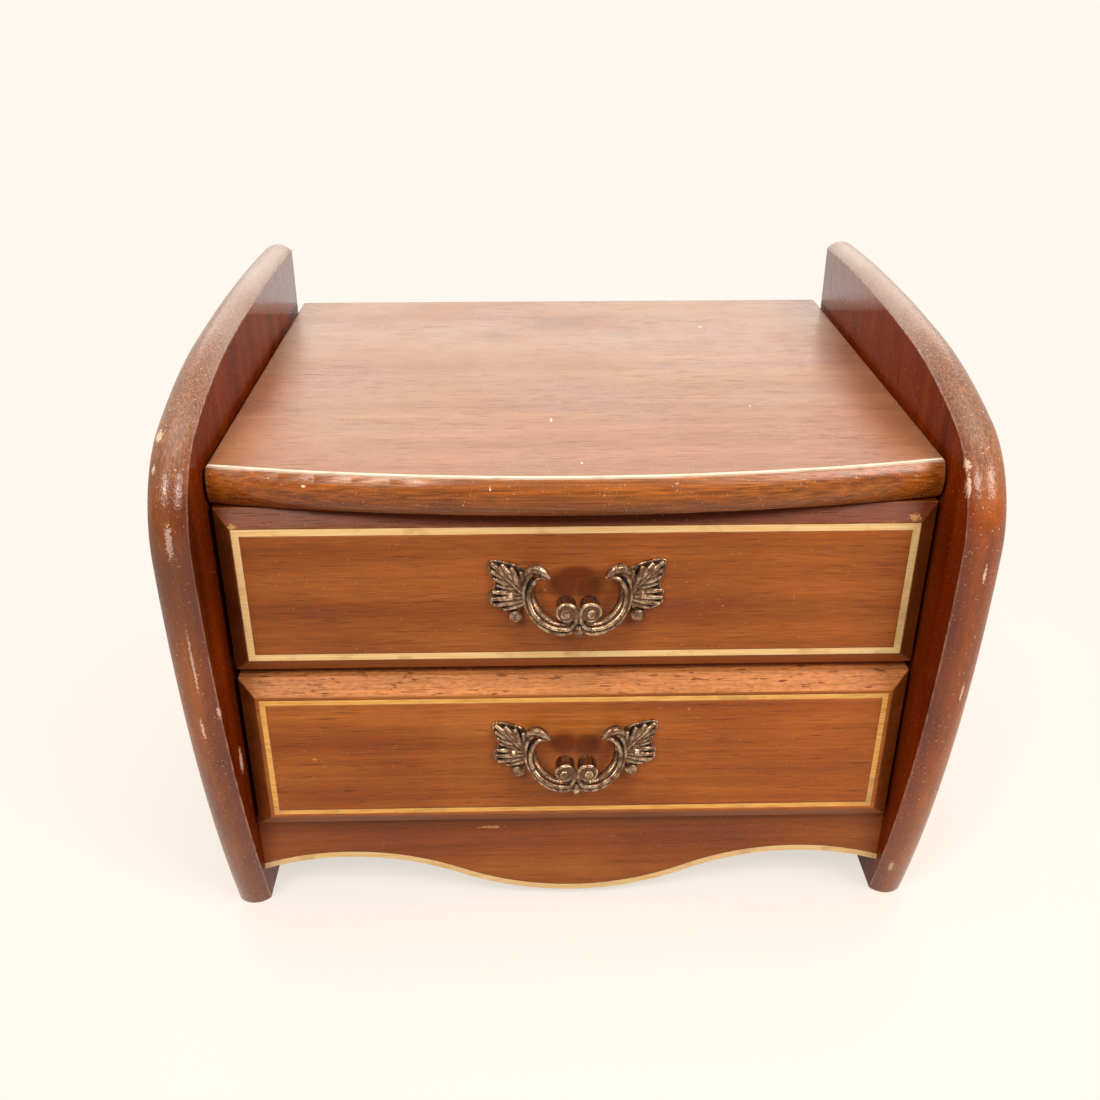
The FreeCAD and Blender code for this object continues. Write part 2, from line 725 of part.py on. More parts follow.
def ringCushion():
    """A row of half-round rolls side by side, with a slit between each two for the rings."""
    low = f"({railBackY} + dim.rest)"
    high = f"({partitionY} - dim.rest)"
    pitch = f"(({high} - {low}) / dim.ringRollCount)"
    rollFoot = f"({trayTop} + dim.ringRollBase)"
    corners = [(low, trayTop), (high, trayTop)]
    for index in range(count("ringRollCount"), 0, -1):
        corners.append((f"{low} + {index} * {pitch}", rollFoot, "dim.ringRollRadius", "left"))
    corners.append((low, rollFoot))
    body = newBody("RingCushion")
    profile = newSketch(body, "YZ_Plane", f"-{halfWell} + dim.rest")
    outline(profile, corners)
    feature(body, "Pad", profile, "dim.ringWellWidth - 2 * dim.rest")
    return piece(body, "ring_cushion")


trayLining()
ringCushion()


# Apron: two hollow crests and a middle lobe, with a light band along the front of its lower edge
lobeRise = "(dim.apronCrestHeight - dim.apronLobeHeight)"
radiusSum = f"((dim.apronCrestX ^ 2 + {lobeRise} ^ 2) / (2 * {lobeRise}))"
crestCentreZ = "(dim.apronCrestHeight - dim.apronCrestRadius)"
lobeCentreZ = f"(dim.apronLobeHeight + {radiusSum} - dim.apronCrestRadius)"


def apronCurve(rise, way):
    """The lower edge from one end to the other, or the same curve a band's height further up."""
    crestRadius = f"(dim.apronCrestRadius + {rise})"
    lobeRadius = f"({radiusSum} - dim.apronCrestRadius - {rise})"
    meetX = f"(dim.apronCrestX * {lobeRadius} / {radiusSum})"
    meetZ = f"({lobeCentreZ} - ({lobeCentreZ} - {crestCentreZ}) * {lobeRadius} / {radiusSum})"
    endZ = f"({crestCentreZ} + sqrt({crestRadius} ^ 2 - ({halfInside} - dim.apronCrestX) ^ 2))"
    crestSide, lobeSide = ("right", "left") if way > 0 else ("left", "right")
    start, end = f"-{way} * {halfInside}", f"{way} * {halfInside}"
    return [
        (start, endZ, crestRadius, crestSide),
        (f"-{way} * {meetX}", meetZ, lobeRadius, lobeSide),
        (f"{way} * {meetX}", meetZ, crestRadius, crestSide),
        (end, endZ),
    ]


def apron():
    body = newBody("Apron")
    board = newSketch(body, "XZ_Plane", f"-{apronBackY}")
    outline(board, apronCurve("0", 1) + [(halfInside, bottomTop), (f"-{halfInside}", bottomTop)])
    feature(body, "Pad", board, "dim.apronThick")
    rebate = newSketch(body, "XZ_Plane", f"-{apronY}")
    outline(rebate, apronCurve("0", 1) + apronCurve("dim.bandHeight", -1))
    feature(body, "Pocket", rebate, "dim.bandDepth")
    return piece(body, "apron")


def apronBanding():
    body = newBody("Banding")
    strip = newSketch(body, "XZ_Plane", f"-{apronY} - dim.bandDepth")
    outline(strip, apronCurve("0", 1) + apronCurve("dim.bandHeight", -1))
    feature(body, "Pad", strip, "dim.bandDepth")
    return piece(body, "apron_banding")


def apronBlocks():
    along = (apronBackY, f"{apronBackY} + dim.blockSide")
    up = ("dim.bottomUnder - dim.blockHeight", "dim.bottomUnder")
    blocks = [
        block("LeftBlock", (f"-{halfInside}", f"-{halfInside} + dim.blockSide"), along, up),
        block("RightBlock", (f"{halfInside} - dim.blockSide", halfInside), along, up),
    ]
    return piece(together("ApronBlocks", blocks), "apron_blocks")


apron()
apronBanding()
apronBlocks()


# Lid: a slab with a bowed, crowned front edge and a light stripe let into its front arris
lidHalf = f"({halfInside} - dim.lidSideGap)"
lidFrontY = f"({faceY} + dim.lidFrontReach)"
lidRearY = f"({rearY} + dim.lidOverhang)"
bowRadius = f"(({lidHalf} ^ 2 + dim.lidBow ^ 2) / (2 * dim.lidBow))"
bowCentreY = f"({lidFrontY} - dim.lidBow + {bowRadius})"
stripeUnder = f"({lidTop} - dim.lidStripeDepth)"


def lidBar(name):
    """A bar with rounded long edges, which trims the lid's two ends."""
    along = (f"{lidFrontY} - dim.lidBow - 2 * dim.lidCrown", lidRearY)
    bar = block(name + "Bar", both(lidHalf), along, (lidZ, lidTop))
    doc.recompute()
    rounded = doc.addObject("Part::Fillet", name)
    rounded.Base = bar
    edges = []
    for index, edge in enumerate(bar.Shape.Edges, start=1):
        line = edge.Vertexes[1].Point - edge.Vertexes[0].Point
        if abs(line.y) > abs(line.x) + abs(line.z):
            edges.append((index, number("dim.lidSideRound"), number("dim.lidSideRound")))
    rounded.Edges = edges
    return rounded


def lidStripe(name):
    """The strip between the lid's front arris and a line behind it."""
    inner = f"({bowRadius} - dim.lidStripeWidth)"
    innerY = f"({bowCentreY} - sqrt({inner} ^ 2 - {lidHalf} ^ 2))"
    body = newBody(name)
    plan = newSketch(body, "XY_Plane", stripeUnder)
    corners = [
        (f"-{lidHalf}", lidFrontY, bowRadius, "left"),
        (lidHalf, lidFrontY),
        (lidHalf, innerY, inner, "right"),
        (f"-{lidHalf}", innerY),
    ]
    outline(plan, corners)
    feature(body, "Pad", plan, "dim.lidStripeDepth")
    return body


def lidBoard():
    body = newBody("LidSlab")
    bind(body, "Placement.Base.y", bowCentreY)
    plan = newSketch(body, "XY_Plane", lidZ)
    frontCornerY, rearCornerY = f"{lidFrontY} - {bowCentreY}", f"{lidRearY} - {bowCentreY}"
    corners = [
        (f"-{lidHalf}", frontCornerY, bowRadius, "left"),
        (lidHalf, frontCornerY),
        (lidHalf, rearCornerY),
        (f"-{lidHalf}", rearCornerY),
    ]
    outline(plan, corners)
    feature(body, "Pad", plan, "dim.lidThick")
    # the crowned nose is turned round the centre of the bow
    crown = newSketch(body, "YZ_Plane")
    crownHeight = "dim.lidThick - dim.lidStripeDepth"
    crownArc = (f"-{bowRadius}", stripeUnder, crownRadius("dim.lidCrown", crownHeight), "left")
    outline(crown, [crownArc, (f"-{bowRadius}", lidZ)])
    nose = feature(body, "Revolution", crown)
    nose.ReferenceAxis = (planeOf(body, "Z_Axis"), [""])
    nose.Midplane = True
    bind(nose, "Angle", f"2 * asin({lidHalf} / {bowRadius})")
    trimmed = common("LidTrimmed", body, lidBar("LidEnds"))
    cuts = [lidStripe("StripeRebate")]
    for index, side in enumerate(hingeSides):
        across = (f"{side} - dim.hingeHalf - dim.slip", f"{side} + dim.hingeHalf + dim.slip")
        along = (f"{leafY} - dim.slip", hingeY)
        cuts.append(block(f"LidMortise{index}", across, along, (lidZ, f"{lidZ} + dim.hingeLeafThick")))
        room = "(dim.hingeHalf + dim.hingePinHeadThick + dim.rest)"
        barrel = (f"{side} - {room}", f"{side} + {room}")
        cuts.append(rod(f"LidBarrelRoom{index}", "X", barrel, (hingeY, hingeZ), barrelRoom))
    for index, spot in enumerate(hingeScrewSpots):
        tip = f"{lidZ} + dim.hingeScrewLength + dim.rest"
        cuts.append(rod(f"LidPilot{index}", "Z", (lidZ, tip), spot, "dim.screwShank + dim.slip"))
    return piece(cut("Lid", trimmed, cuts), "lid_board")


def lidLining():
    pad = block("PadBlank", padAcross, padAlong, (f"{lidZ} - dim.padThick", lidZ))
    window = block(
        "PadWindow",
        (f"{mirrorAcross[0]} - dim.rest", f"{mirrorAcross[1]} + dim.rest"),
        (f"{mirrorAlong[0]} - dim.rest", f"{mirrorAlong[1]} + dim.rest"),
        (f"{lidZ} - 2 * dim.padThick", f"{lidZ} + 1"),
    )
    return piece(cut("LidPad", pad, [window]), "lid_lining")


padAcross = both(f"{halfInside} - dim.padSide")
padAlong = (f"{railBackY} + dim.padFront", f"{partitionY} - dim.padRear")
mirrorAcross = both(f"{halfInside} - dim.padSide - dim.mirrorSideFrame")
mirrorAlong = (f"{padAlong[0]} + dim.mirrorFrame", f"{padAlong[1]} - dim.mirrorFrame")

lidBoard()
piece(common("LidStripeTrimmed", lidStripe("LidStripe"), lidBar("StripeEnds")), "lid_inlay")
lidLining()
piece(block("Mirror", mirrorAcross, mirrorAlong, (f"{lidZ} - dim.mirrorThick", lidZ)), "lid_mirror")


# Hinges: two butt hinges let into the top of the back and the underside of the lid
def hingeLeaf(name, side, up, knuckles, gaps, bore, head, way):
    """One leaf with its knuckles: knuckles and gaps are spans from the middle of the hinge."""
    across = (f"{side} - dim.hingeHalf", f"{side} + dim.hingeHalf")
    plate = block(name + "Plate", across, (leafY, hingeY), up)
    barrels = []
    for index, span in enumerate(knuckles):
        place = (f"{side} + {span[0]}", f"{side} + {span[1]}")
        barrels.append(rod(f"{name}Knuckle{index}", "X", place, (hingeY, hingeZ), "dim.hingeBarrel"))
    whole = joined(name + "Whole", [plate] + barrels)
    cuts = [rod(name + "Bore", "X", (f"{across[0]} - 1", f"{across[1]} + 1"), (hingeY, hingeZ), bore)]
    notchUp = (f"{hingeZ} - {barrelRoom}", f"{hingeZ} + {barrelRoom}")
    notch = ((backOuterY, f"{hingeY} + {barrelRoom}"), notchUp)
    for index, span in enumerate(gaps):
        place = (f"{side} + {span[0]}", f"{side} + {span[1]}")
        cuts.append(block(f"{name}Notch{index}", place, *notch))
    for index, (x, y) in enumerate(hingeScrewSpots):
        if x.startswith(f"({side} "):
            cuts += sink(f"{name}Screw{index}", "Z", head, way, (x, y), *hingeScrew)
    return cut(name, whole, cuts)


def hingePin(name, side):
    body = (f"{side} - dim.hingeHalf", f"{side} + dim.hingeHalf + dim.hingePinHeadThick")
    head = (f"{side} + dim.hingeHalf", body[1])
    pin = rod(name + "Pin", "X", body, (hingeY, hingeZ), "dim.hingePin")
    return joined(name, [pin, rod(name + "Head", "X", head, (hingeY, hingeZ), "dim.hingePinHead")])


caseKnuckles = [("-dim.hingeHalf", "-dim.hingeCaseKnuckle"), ("dim.hingeCaseKnuckle", "dim.hingeHalf")]
lidKnuckles = [("-dim.hingeLidKnuckle", "dim.hingeLidKnuckle")]
caseGaps = [("-dim.hingeCaseKnuckle", "dim.hingeCaseKnuckle")]
lidGaps = [("-dim.hingeHalf", "-dim.hingeLidKnuckle"), ("dim.hingeLidKnuckle", "dim.hingeHalf")]
caseLeafUp = (f"{rimZ} - dim.hingeLeafThick", rimZ)
lidLeafUp = (lidZ, f"{lidZ} + dim.hingeLeafThick")
leaves = {
    "case": ("Case", caseLeafUp, caseKnuckles, caseGaps, "dim.hingePinFit", rimZ, -1),
    "lid": ("Lid", lidLeafUp, lidKnuckles, lidGaps, "dim.hingePinPlay", lidZ, 1),
}
for half, (name, up, knuckles, gaps, play, head, way) in leaves.items():
    pair = [
        hingeLeaf(f"{name}Leaf{index}", side, up, knuckles, gaps, f"dim.hingePin + {play}", head, way)
        for index, side in enumerate(hingeSides)
    ]
    piece(together(name + "Leaves", pair), f"hinge_leaves_{half}")
    screws = [
        screw(f"{name}Screw{index}", "Z", head, way, spot, *hingeScrew, True)
        for index, spot in enumerate(hingeScrewSpots)
    ]
    piece(together(name + "Screws", screws), f"hinge_screws_{half}")
hingePins = [hingePin(f"HingePin{index}", side) for index, side in enumerate(hingeSides)]
piece(together("HingePins", hingePins), "hinge_pins")


# Drawers: a bevelled front with an inlaid stripe, a box behind it, a lining, a cast pull and its nails
frontHalf = f"({halfInside} - dim.drawerSideGap)"
fieldHalf = f"({frontHalf} - dim.bevelWidth)"
boxInside = f"({frontHalf} - dim.boxSideThick)"
nailHole = "dim.nailRadius + dim.slip"


def stripeRing(sketch, fieldZ, inset, width):
    """Two rectangles, one inside the other, along the edge of the drawer's raised field."""
    for step in (inset, f"{inset} + {width}"):
        up = (f"{fieldZ[0]} + {step}", f"{fieldZ[1]} - ({step})")
        rectangle(sketch, both(f"{fieldHalf} - ({step})"), up)


def drawerFront(name, label, frontZ, height, inset, width, pullZ, bottomZ):
    fieldZ = (f"{frontZ} + dim.bevelWidth", f"{frontZ} + {height} - dim.bevelWidth")
    body = newBody(name + "FrontBlank")
    base = newSketch(body, "XZ_Plane", f"-{frontBackY}")
    rectangle(base, both(frontHalf), (frontZ, f"{frontZ} + {height}"))
    feature(body, "Pad", base, "dim.frontThick - dim.bevelDepth")
    edge = newSketch(body, "XZ_Plane", f"-{faceY} - dim.bevelDepth")
    rectangle(edge, both(frontHalf), (frontZ, f"{frontZ} + {height}"))
    field = newSketch(body, "XZ_Plane", f"-{faceY}")
    rectangle(field, both(fieldHalf), fieldZ)
    raised = feature(body, "AdditiveLoft", edge)
    raised.Sections = [field]
    raised.Ruled = True
    ring = newSketch(body, "XZ_Plane", f"-{faceY}")
    stripeRing(ring, fieldZ, inset, width)
    feature(body, "Pocket", ring, "dim.stripeDepth")
    grooveUp = (f"{bottomZ} - dim.slip", f"{bottomZ} + dim.boxBottomThick + dim.slip")
    grooveIn = (f"{frontBackY} - dim.boxGroove", f"{frontBackY} + 1")
    cuts = [block(name + "FrontGroove", both(f"{boxInside} + dim.boxGroove"), grooveIn, grooveUp)]
    for index, way in enumerate((-1, 1)):
        hole = (f"{faceY} - 1", f"{faceY} + dim.nailLength")
        cuts.append(rod(f"{name}NailHole{index}", "Y", hole, (f"{way} * dim.nailX", pullZ), nailHole))
    piece(cut(name + "Front", body, cuts), label + "_front")
    stripe = newBody(name + "Stripe")
    plan = newSketch(stripe, "XZ_Plane", f"-{faceY} - dim.stripeDepth")
    stripeRing(plan, fieldZ, inset, width)
    feature(stripe, "Pad", plan, "dim.stripeDepth")
    piece(stripe, label + "_inlay")


def drawerBox(name, label, boxZ, boxHeight, boxBackY, bottomZ):
    along = (frontBackY, boxBackY)
    up = (boxZ, f"{boxZ} + {boxHeight}")
    grooveUp = (f"{bottomZ} - dim.slip", f"{bottomZ} + dim.boxBottomThick + dim.slip")
    for word, way in (("left", -1), ("right", 1)):
        outer, inner = f"{way} * {frontHalf}", f"{way} * {boxInside}"
        floor = f"{way} * ({boxInside} + dim.boxGroove)"
        across = (outer, inner) if way < 0 else (inner, outer)
        grooveIn = (floor, f"{inner} + 1") if way < 0 else (f"{inner} - 1", floor)
        side = block(f"{name}{word}Blank", across, along, up)
        groove = block(f"{name}{word}Groove", grooveIn, (f"{frontBackY} - 1", f"{boxBackY} + 1"), grooveUp)
        piece(cut(f"{name}{word}", side, [groove]), f"{label}_side_{word}")
    inBackY = f"({boxBackY} - dim.boxBackThick)"
    end = block(name + "EndBlank", both(boxInside), (inBackY, boxBackY), up)
    grooveIn = (f"{inBackY} - 1", f"{inBackY} + dim.boxGroove")
    endGroove = block(name + "EndGroove", both(f"{boxInside} + 1"), grooveIn, grooveUp)
    piece(cut(name + "End", end, [endGroove]), label + "_back")
    lowered = "(dim.boxGroove - dim.slip)"
    bottomAlong = (f"{frontBackY} - {lowered}", f"{inBackY} + {lowered}")
    bottomUp = (bottomZ, f"{bottomZ} + dim.boxBottomThick")
    piece(block(name + "Bottom", both(f"{boxInside} + {lowered}"), bottomAlong, bottomUp), label + "_bottom")
    padUp = (bottomUp[1], f"{bottomUp[1]} + dim.drawerLiningThick")
    padAlong = (f"{frontBackY} + dim.rest", f"{inBackY} - dim.rest")
    piece(block(name + "Pad", both(f"{boxInside} - dim.rest"), padAlong, padUp), label + "_lining")


# A leaf's corners in its own frame: out from the pull's middle, and up from the nail
leafCorners = [
    ("9.5", "11.0"),
    ("14.5", "13.0"),
    ("21.0", "10.6"),
    ("28.8", "11.4"),
    ("27.0", "3.8"),
    ("29.2", "-3.6"),
    ("22.0", "-6.6"),
    ("16.5", "-6.4"),
    ("13.0", "2.0"),
]


def leaf(name, way, pullZ):
    """A flat leaf with two lobes, from the scroll out to its tips."""
    body = newBody(name)
    plan = newSketch(body, "XZ_Plane", f"-{faceY}")
    outline(plan, [(f"{way} * {x}", f"{pullZ} + {z}") for x, z in leafCorners])
    feature(body, "Pad", plan, "dim.leafThick")
    return body


def scroll(name, way, pullZ):
    """A scroll arm: part of a ring that leans forward, away from the drawer's face, at its foot."""
    ring = doc.addObject("Part::Torus", name)
    bind(ring, "Radius1", "dim.scrollRadius")
    bind(ring, "Radius2", "dim.scrollWire")
    bind(ring, "Angle3", "dim.scrollCurlDegrees + dim.scrollFootDegrees")
    upright = FreeCAD.Rotation(FreeCAD.Vector(1, 0, 0), 90 - number("dim.scrollLeanDegrees"))
    start = -number("dim.scrollFootDegrees") if way > 0 else 180 - number("dim.scrollCurlDegrees")
    ring.Placement.Rotation = upright * FreeCAD.Rotation(FreeCAD.Vector(0, 0, 1), start)
    centre = (f"{way} * dim.scrollX", f"{faceY} - dim.scrollStand", f"{pullZ} + dim.scrollZ")
    for axis, text in zip("xyz", centre):
        bind(ring, f"Placement.Base.{axis}", text)
    return ring


scrollLean = "(dim.scrollLeanDegrees * 1 deg)"
postTurn = "(dim.scrollPostDegrees * 1 deg)"
postRise = f"(dim.scrollRadius * sin({postTurn}))"


def pullHalf(name, way, pullZ):
    """One side of the pull: its leaf, scroll, the post between them, volute and berry."""
    nailAt = (f"{way} * dim.nailX", pullZ)
    hole = rod(name + "Hole", "Y", (f"{faceY} - 2 * dim.leafThick", f"{faceY} + 1"), nailAt, nailHole)
    postAt = (
        f"{way} * (dim.scrollX + dim.scrollRadius * cos({postTurn}))",
        f"{pullZ} + dim.scrollZ + {postRise} * cos({scrollLean})",
    )
    postSpan = (f"{faceY} - dim.scrollStand + {postRise} * sin({scrollLean})", faceY)
    knob = (f"{faceY} - dim.voluteFront", f"{faceY} - dim.voluteBack")
    berry = (f"{faceY} - dim.leafThick - dim.nailHeadThick", faceY)
    berryAt = (f"{way} * dim.berryX", f"{pullZ} + dim.berryZ")
    return [
        cut(name + "Plate", leaf(name + "Leaf", way, pullZ), [hole]),
        scroll(name + "Scroll", way, pullZ),
        rod(name + "Post", "Y", postSpan, postAt, "dim.scrollWire"),
        rod(name + "Volute", "Y", knob, (f"{way} * dim.voluteX", pullZ), "dim.voluteRadius"),
        rod(name + "Berry", "Y", berry, berryAt, "dim.berryRadius"),
    ]


def pull(name, label, pullZ):
    footZ = f"{pullZ} + dim.scrollZ - dim.scrollRadius * cos({scrollLean})"
    footY = f"{faceY} - dim.scrollStand - dim.scrollRadius * sin({scrollLean})"
    foot = rod(name + "Foot", "X", both("dim.scrollX"), (footY, footZ), "dim.scrollWire")
    tailSpan = (f"{pullZ} + dim.tailFoot", f"{pullZ} + dim.tailTop")
    tailAt = ("0", f"({faceY} - dim.tailStand)")
    tail = rod(name + "Tail", "Z", tailSpan, tailAt, "dim.tailRadius / 2", "dim.tailRadius")
    halves = pullHalf(name + "Left", -1, pullZ) + pullHalf(name + "Right", 1, pullZ)
    piece(joined(name, [foot, tail] + halves), label + "_pull")
    nails = []
    seat = f"{faceY} - dim.leafThick"
    headSpan = (f"{seat} - dim.nailHeadThick", seat)
    for index, way in enumerate((-1, 1)):
        at = (f"{way} * dim.nailX", pullZ)
        shank = rod(f"{name}Shank{index}", "Y", (seat, f"{seat} + dim.nailLength"), at, "dim.nailRadius")
        head = rod(f"{name}Head{index}", "Y", headSpan, at, "dim.nailHeadRadius / 2", "dim.nailHeadRadius")
        nails.append(joined(f"{name}Nail{index}", [shank, head]))
    piece(together(name + "Nails", nails), label + "_pull_nails")


def drawer(name, label, frontZ, restZ, height, boxHeight, boxBackY, inset, width, pullHeight):
    boxZ = f"({restZ} + dim.rest)"
    bottomZ = f"({boxZ} + dim.boxBottomLift)"
    pullZ = f"({frontZ} + {pullHeight})"
    drawerFront(name, label, frontZ, height, inset, width, pullZ, bottomZ)
    drawerBox(name, label, boxZ, boxHeight, boxBackY, bottomZ)
    pull(name + "Pull", label, pullZ)


drawer("Upper", "upper_drawer", upperFrontZ, dividerTop, "dim.upperFrontHeight", "dim.upperBoxHeight",
       f"({partitionY} - dim.rest)", "dim.upperStripeInset", "dim.upperStripeWidth", "dim.upperPullHeight")
drawer("Lower", "lower_drawer", lowerFrontZ, bottomTop, "dim.lowerFrontHeight", "dim.lowerBoxHeight",
       f"({backInnerY} - dim.rest)", "dim.lowerStripeInset", "dim.lowerStripeWidth", "dim.lowerPullHeight")


# Musical movement: a bedplate on the inside of the back, with the comb below the pinned cylinder
cylinderRight = "(dim.cylinderLeft + dim.cylinderLength)"
governorZ = f"({arborZ} + dim.wormWheelRadius + dim.wormRadius + dim.rest)"
combSpan = ("(dim.cylinderLeft - dim.combSide)", f"({cylinderRight} + dim.combSide)")
combY = f"({cylinderY} - dim.combThick / 2)"
combBackY = f"({cylinderY} + dim.combThick / 2)"
combScrewZ = f"({arborZ} - (dim.combFoot + dim.combRoot) / 2)"
combScrewXs = (f"({combSpan[0]} + dim.combScrewInset)", f"({combSpan[1]} - dim.combScrewInset)")
drumFrontY = f"({bedFrontY} - dim.drumDepth)"
driveTipY = f"(min({drumFrontY}; {cylinderY} - dim.pinionRadius) - dim.rest)"
driveBackY = f"({driveTipY} - dim.driveToothDepth)"
driveFrontY = f"({driveBackY} - dim.driveThick)"
fanTop = f"({governorZ} + dim.fanRadius)"
armUnder = f"({fanTop} + dim.bracketLift)"
armTop = f"({armUnder} + dim.bracketThick)"
bracketScrewZ = f"({armUnder} - dim.bracketScrewBelow)"
keyHubY = f"({backOuterY} + dim.keyHubGap)"
keyHubEnd = f"({boxHalfDepth} - 2 * dim.keyWingRadius + dim.keyNeck)"
arborEnd = f"({keyHubEnd} - dim.keyHubWall - dim.rest)"
smallScrewHole = "dim.screwShank + dim.slip"


def bedplate():
    across = ("-dim.bedLeft", "dim.bedRight")
    plateUp = (f"{arborZ} - dim.bedHalfHeight", f"{arborZ} + dim.bedHalfHeight")
    plate = block("BedPlate", across, (bedFrontY, backInnerY), plateUp)
    postAlong = (f"{cylinderY} - dim.postHalf", bedFrontY)
    postUp = (f"{arborZ} - dim.postHalf", f"{arborZ} + dim.postHalf")
    solids = [plate]
    for index, left in enumerate(("dim.postLeft", "dim.postRight")):
        solids.append(block(f"BedPost{index}", (left, f"{left} + dim.postThick"), postAlong, postUp))
    riserUp = (f"{arborZ} - dim.combFoot", f"{arborZ} - dim.combRoot")
    solids.append(block("BedRiser", combSpan, (combBackY, bedFrontY), riserUp))
    through = (f"{bedFrontY} - 1", f"{backInnerY} + 1")
    governorEnd = (f"{bedFrontY} - 1", f"{bedFrontY} + dim.governorSeat")
    cuts = [
        rod("BedArborBore", "Y", through, ("0", arborZ), "dim.arborRadius + dim.slip"),
        rod("BedShaftBore", "X", ("0", "dim.bedRight"), (cylinderY, arborZ), "dim.shaftRadius + dim.slip"),
        rod("BedGovernorBore", "Y", governorEnd, (governorX, governorZ), "dim.governorShaft + dim.slip"),
        rod("BedBracketHole", "Y", through, (governorX, bracketScrewZ), smallScrewHole),
    ]
    for index, spot in enumerate(bedScrewSpots):
        cuts.append(rod(f"BedHole{index}", "Y", through, spot, bedScrewHole))
    riserThrough = (f"{combBackY} - 1", through[1])
    for index, x in enumerate(combScrewXs):
        cuts.append(rod(f"BedCombHole{index}", "Y", riserThrough, (x, combScrewZ), smallScrewHole))
    return piece(cut("Bed", joined("BedWhole", solids), cuts), "music_bedplate")


def springDrum():
    outer = rod("DrumOuter", "Y", (drumFrontY, bedFrontY), ("0", arborZ), "dim.drumRadius")
    hollow = (f"{drumFrontY} + dim.drumWall", f"{bedFrontY} + 1")
    inner = rod("DrumInner", "Y", hollow, ("0", arborZ), "dim.drumRadius - dim.drumWall")
    bore = rod("DrumBore", "Y", (f"{drumFrontY} - 1", bedFrontY), ("0", arborZ), "dim.arborRadius + dim.slip")
    return piece(cut("Drum", outer, [inner, bore]), "spring_drum")


def spiralPoints(start, step, quarters):
    """The corners of a spiral of quarter turns, whose centres step round a small square."""
    centres = [("0", "0"), ("0", f"-{step}"), (step, f"-{step}"), (step, "0")]
    ways = [(1, 0), (0, 1), (-1, 0), (0, -1)]
    points = []
    for quarter in range(quarters + 1):
        centre = centres[quarter % 4]
        radius = f"({start} + {quarter} * {step})"
        x, y = (f"{middle} + {way} * {radius}" for middle, way in zip(centre, ways[quarter % 4]))
        points.append((x, y, radius))
    return points


def mainspring():
    """A flat strip wound in a spiral round the arbor, inside the drum."""
    quarters = 4 * count("springTurns")
    inside = "(dim.arborRadius + dim.springArborGap)"
    outside = "(dim.drumRadius - dim.drumWall - dim.rest / 2)"
    step = f"(({outside} - {inside} - dim.springStrip) / {quarters})"
    inner = spiralPoints(inside, step, quarters)
    outer = spiralPoints(f"({inside} + dim.springStrip)", step, quarters)
    corners = [(x, y, radius, "left") for x, y, radius in inner[:-1]] + [inner[-1][:2]]
    for index in range(quarters, 0, -1):
        corners.append((*outer[index][:2], outer[index - 1][2], "right"))
    corners.append(outer[0][:2])
    body = newBody("Mainspring")
    bind(body, "Placement.Base.z", arborZ)
    strip = newSketch(body, "XZ_Plane", f"-({bedFrontY} - dim.springMargin)")
    outline(strip, corners)
    feature(body, "Pad", strip, "dim.drumDepth - dim.drumWall - 2 * dim.springMargin")
    return piece(body, "mainspring")


def toothed(body, axis, notch, depth, teeth):
    """Cuts one tooth space and repeats it round the axis."""
    space = feature(body, "Pocket", notch, depth)
    ring = body.newObject("PartDesign::PolarPattern", body.Name + "Teeth")
    ring.Originals = [space]
    ring.Axis = (planeOf(body, axis), [""])
    bind(ring, "Occurrences", teeth)
    body.Tip = ring


def windingArbor():
    """The arbor with its drive wheel, whose teeth stand on the wheel's back face."""
    shaftSpan = (f"{driveFrontY} - dim.arborFront", arborEnd)
    shaft = rod("ArborShaft", "Y", shaftSpan, ("0", arborZ), "dim.arborRadius")
    wheel = newBody("DriveWheel")
    bind(wheel, "Placement.Base.z", arborZ)
    disc = newSketch(wheel, "XZ_Plane", f"-{driveBackY}")
    circle(disc, "0", "0", "dim.driveRadius")
    feature(wheel, "Pad", disc, "dim.driveThick")
    rim = newSketch(wheel, "XZ_Plane", f"-{driveTipY}")
    circle(rim, "0", "0", "dim.driveRadius")
    circle(rim, "0", "0", "dim.driveRadius - dim.driveFace")
    feature(wheel, "Pad", rim, "dim.driveToothDepth")
    notch = newSketch(wheel, "XZ_Plane", f"-{driveTipY}")
    spaceUp = ("dim.driveRadius - dim.driveFace - dim.rest", "dim.driveRadius + dim.rest")
    rectangle(notch, both("dim.driveToothGap / 2"), spaceUp)
    toothed(wheel, "Y_Axis", notch, "dim.driveToothDepth", "dim.driveTeeth")
    return piece(joined("Arbor", [shaft, wheel]), "winding_arbor")


def gearOnX(name, left, thick, radius, toothDepth, toothGap, teeth):
    """A gear across the X axis of the pinned cylinder's shaft."""
    body = newBody(name)
    bind(body, "Placement.Base.y", cylinderY)
    bind(body, "Placement.Base.z", arborZ)
    disc = newSketch(body, "YZ_Plane", left)
    circle(disc, "0", "0", radius)
    feature(body, "Pad", disc, thick)
    notch = newSketch(body, "YZ_Plane", f"{left} + {thick}")
    rectangle(notch, both(f"{toothGap} / 2"), (f"{radius} - {toothDepth}", f"{radius} + dim.rest"))
    toothed(body, "X_Axis", notch, thick, teeth)
    return body


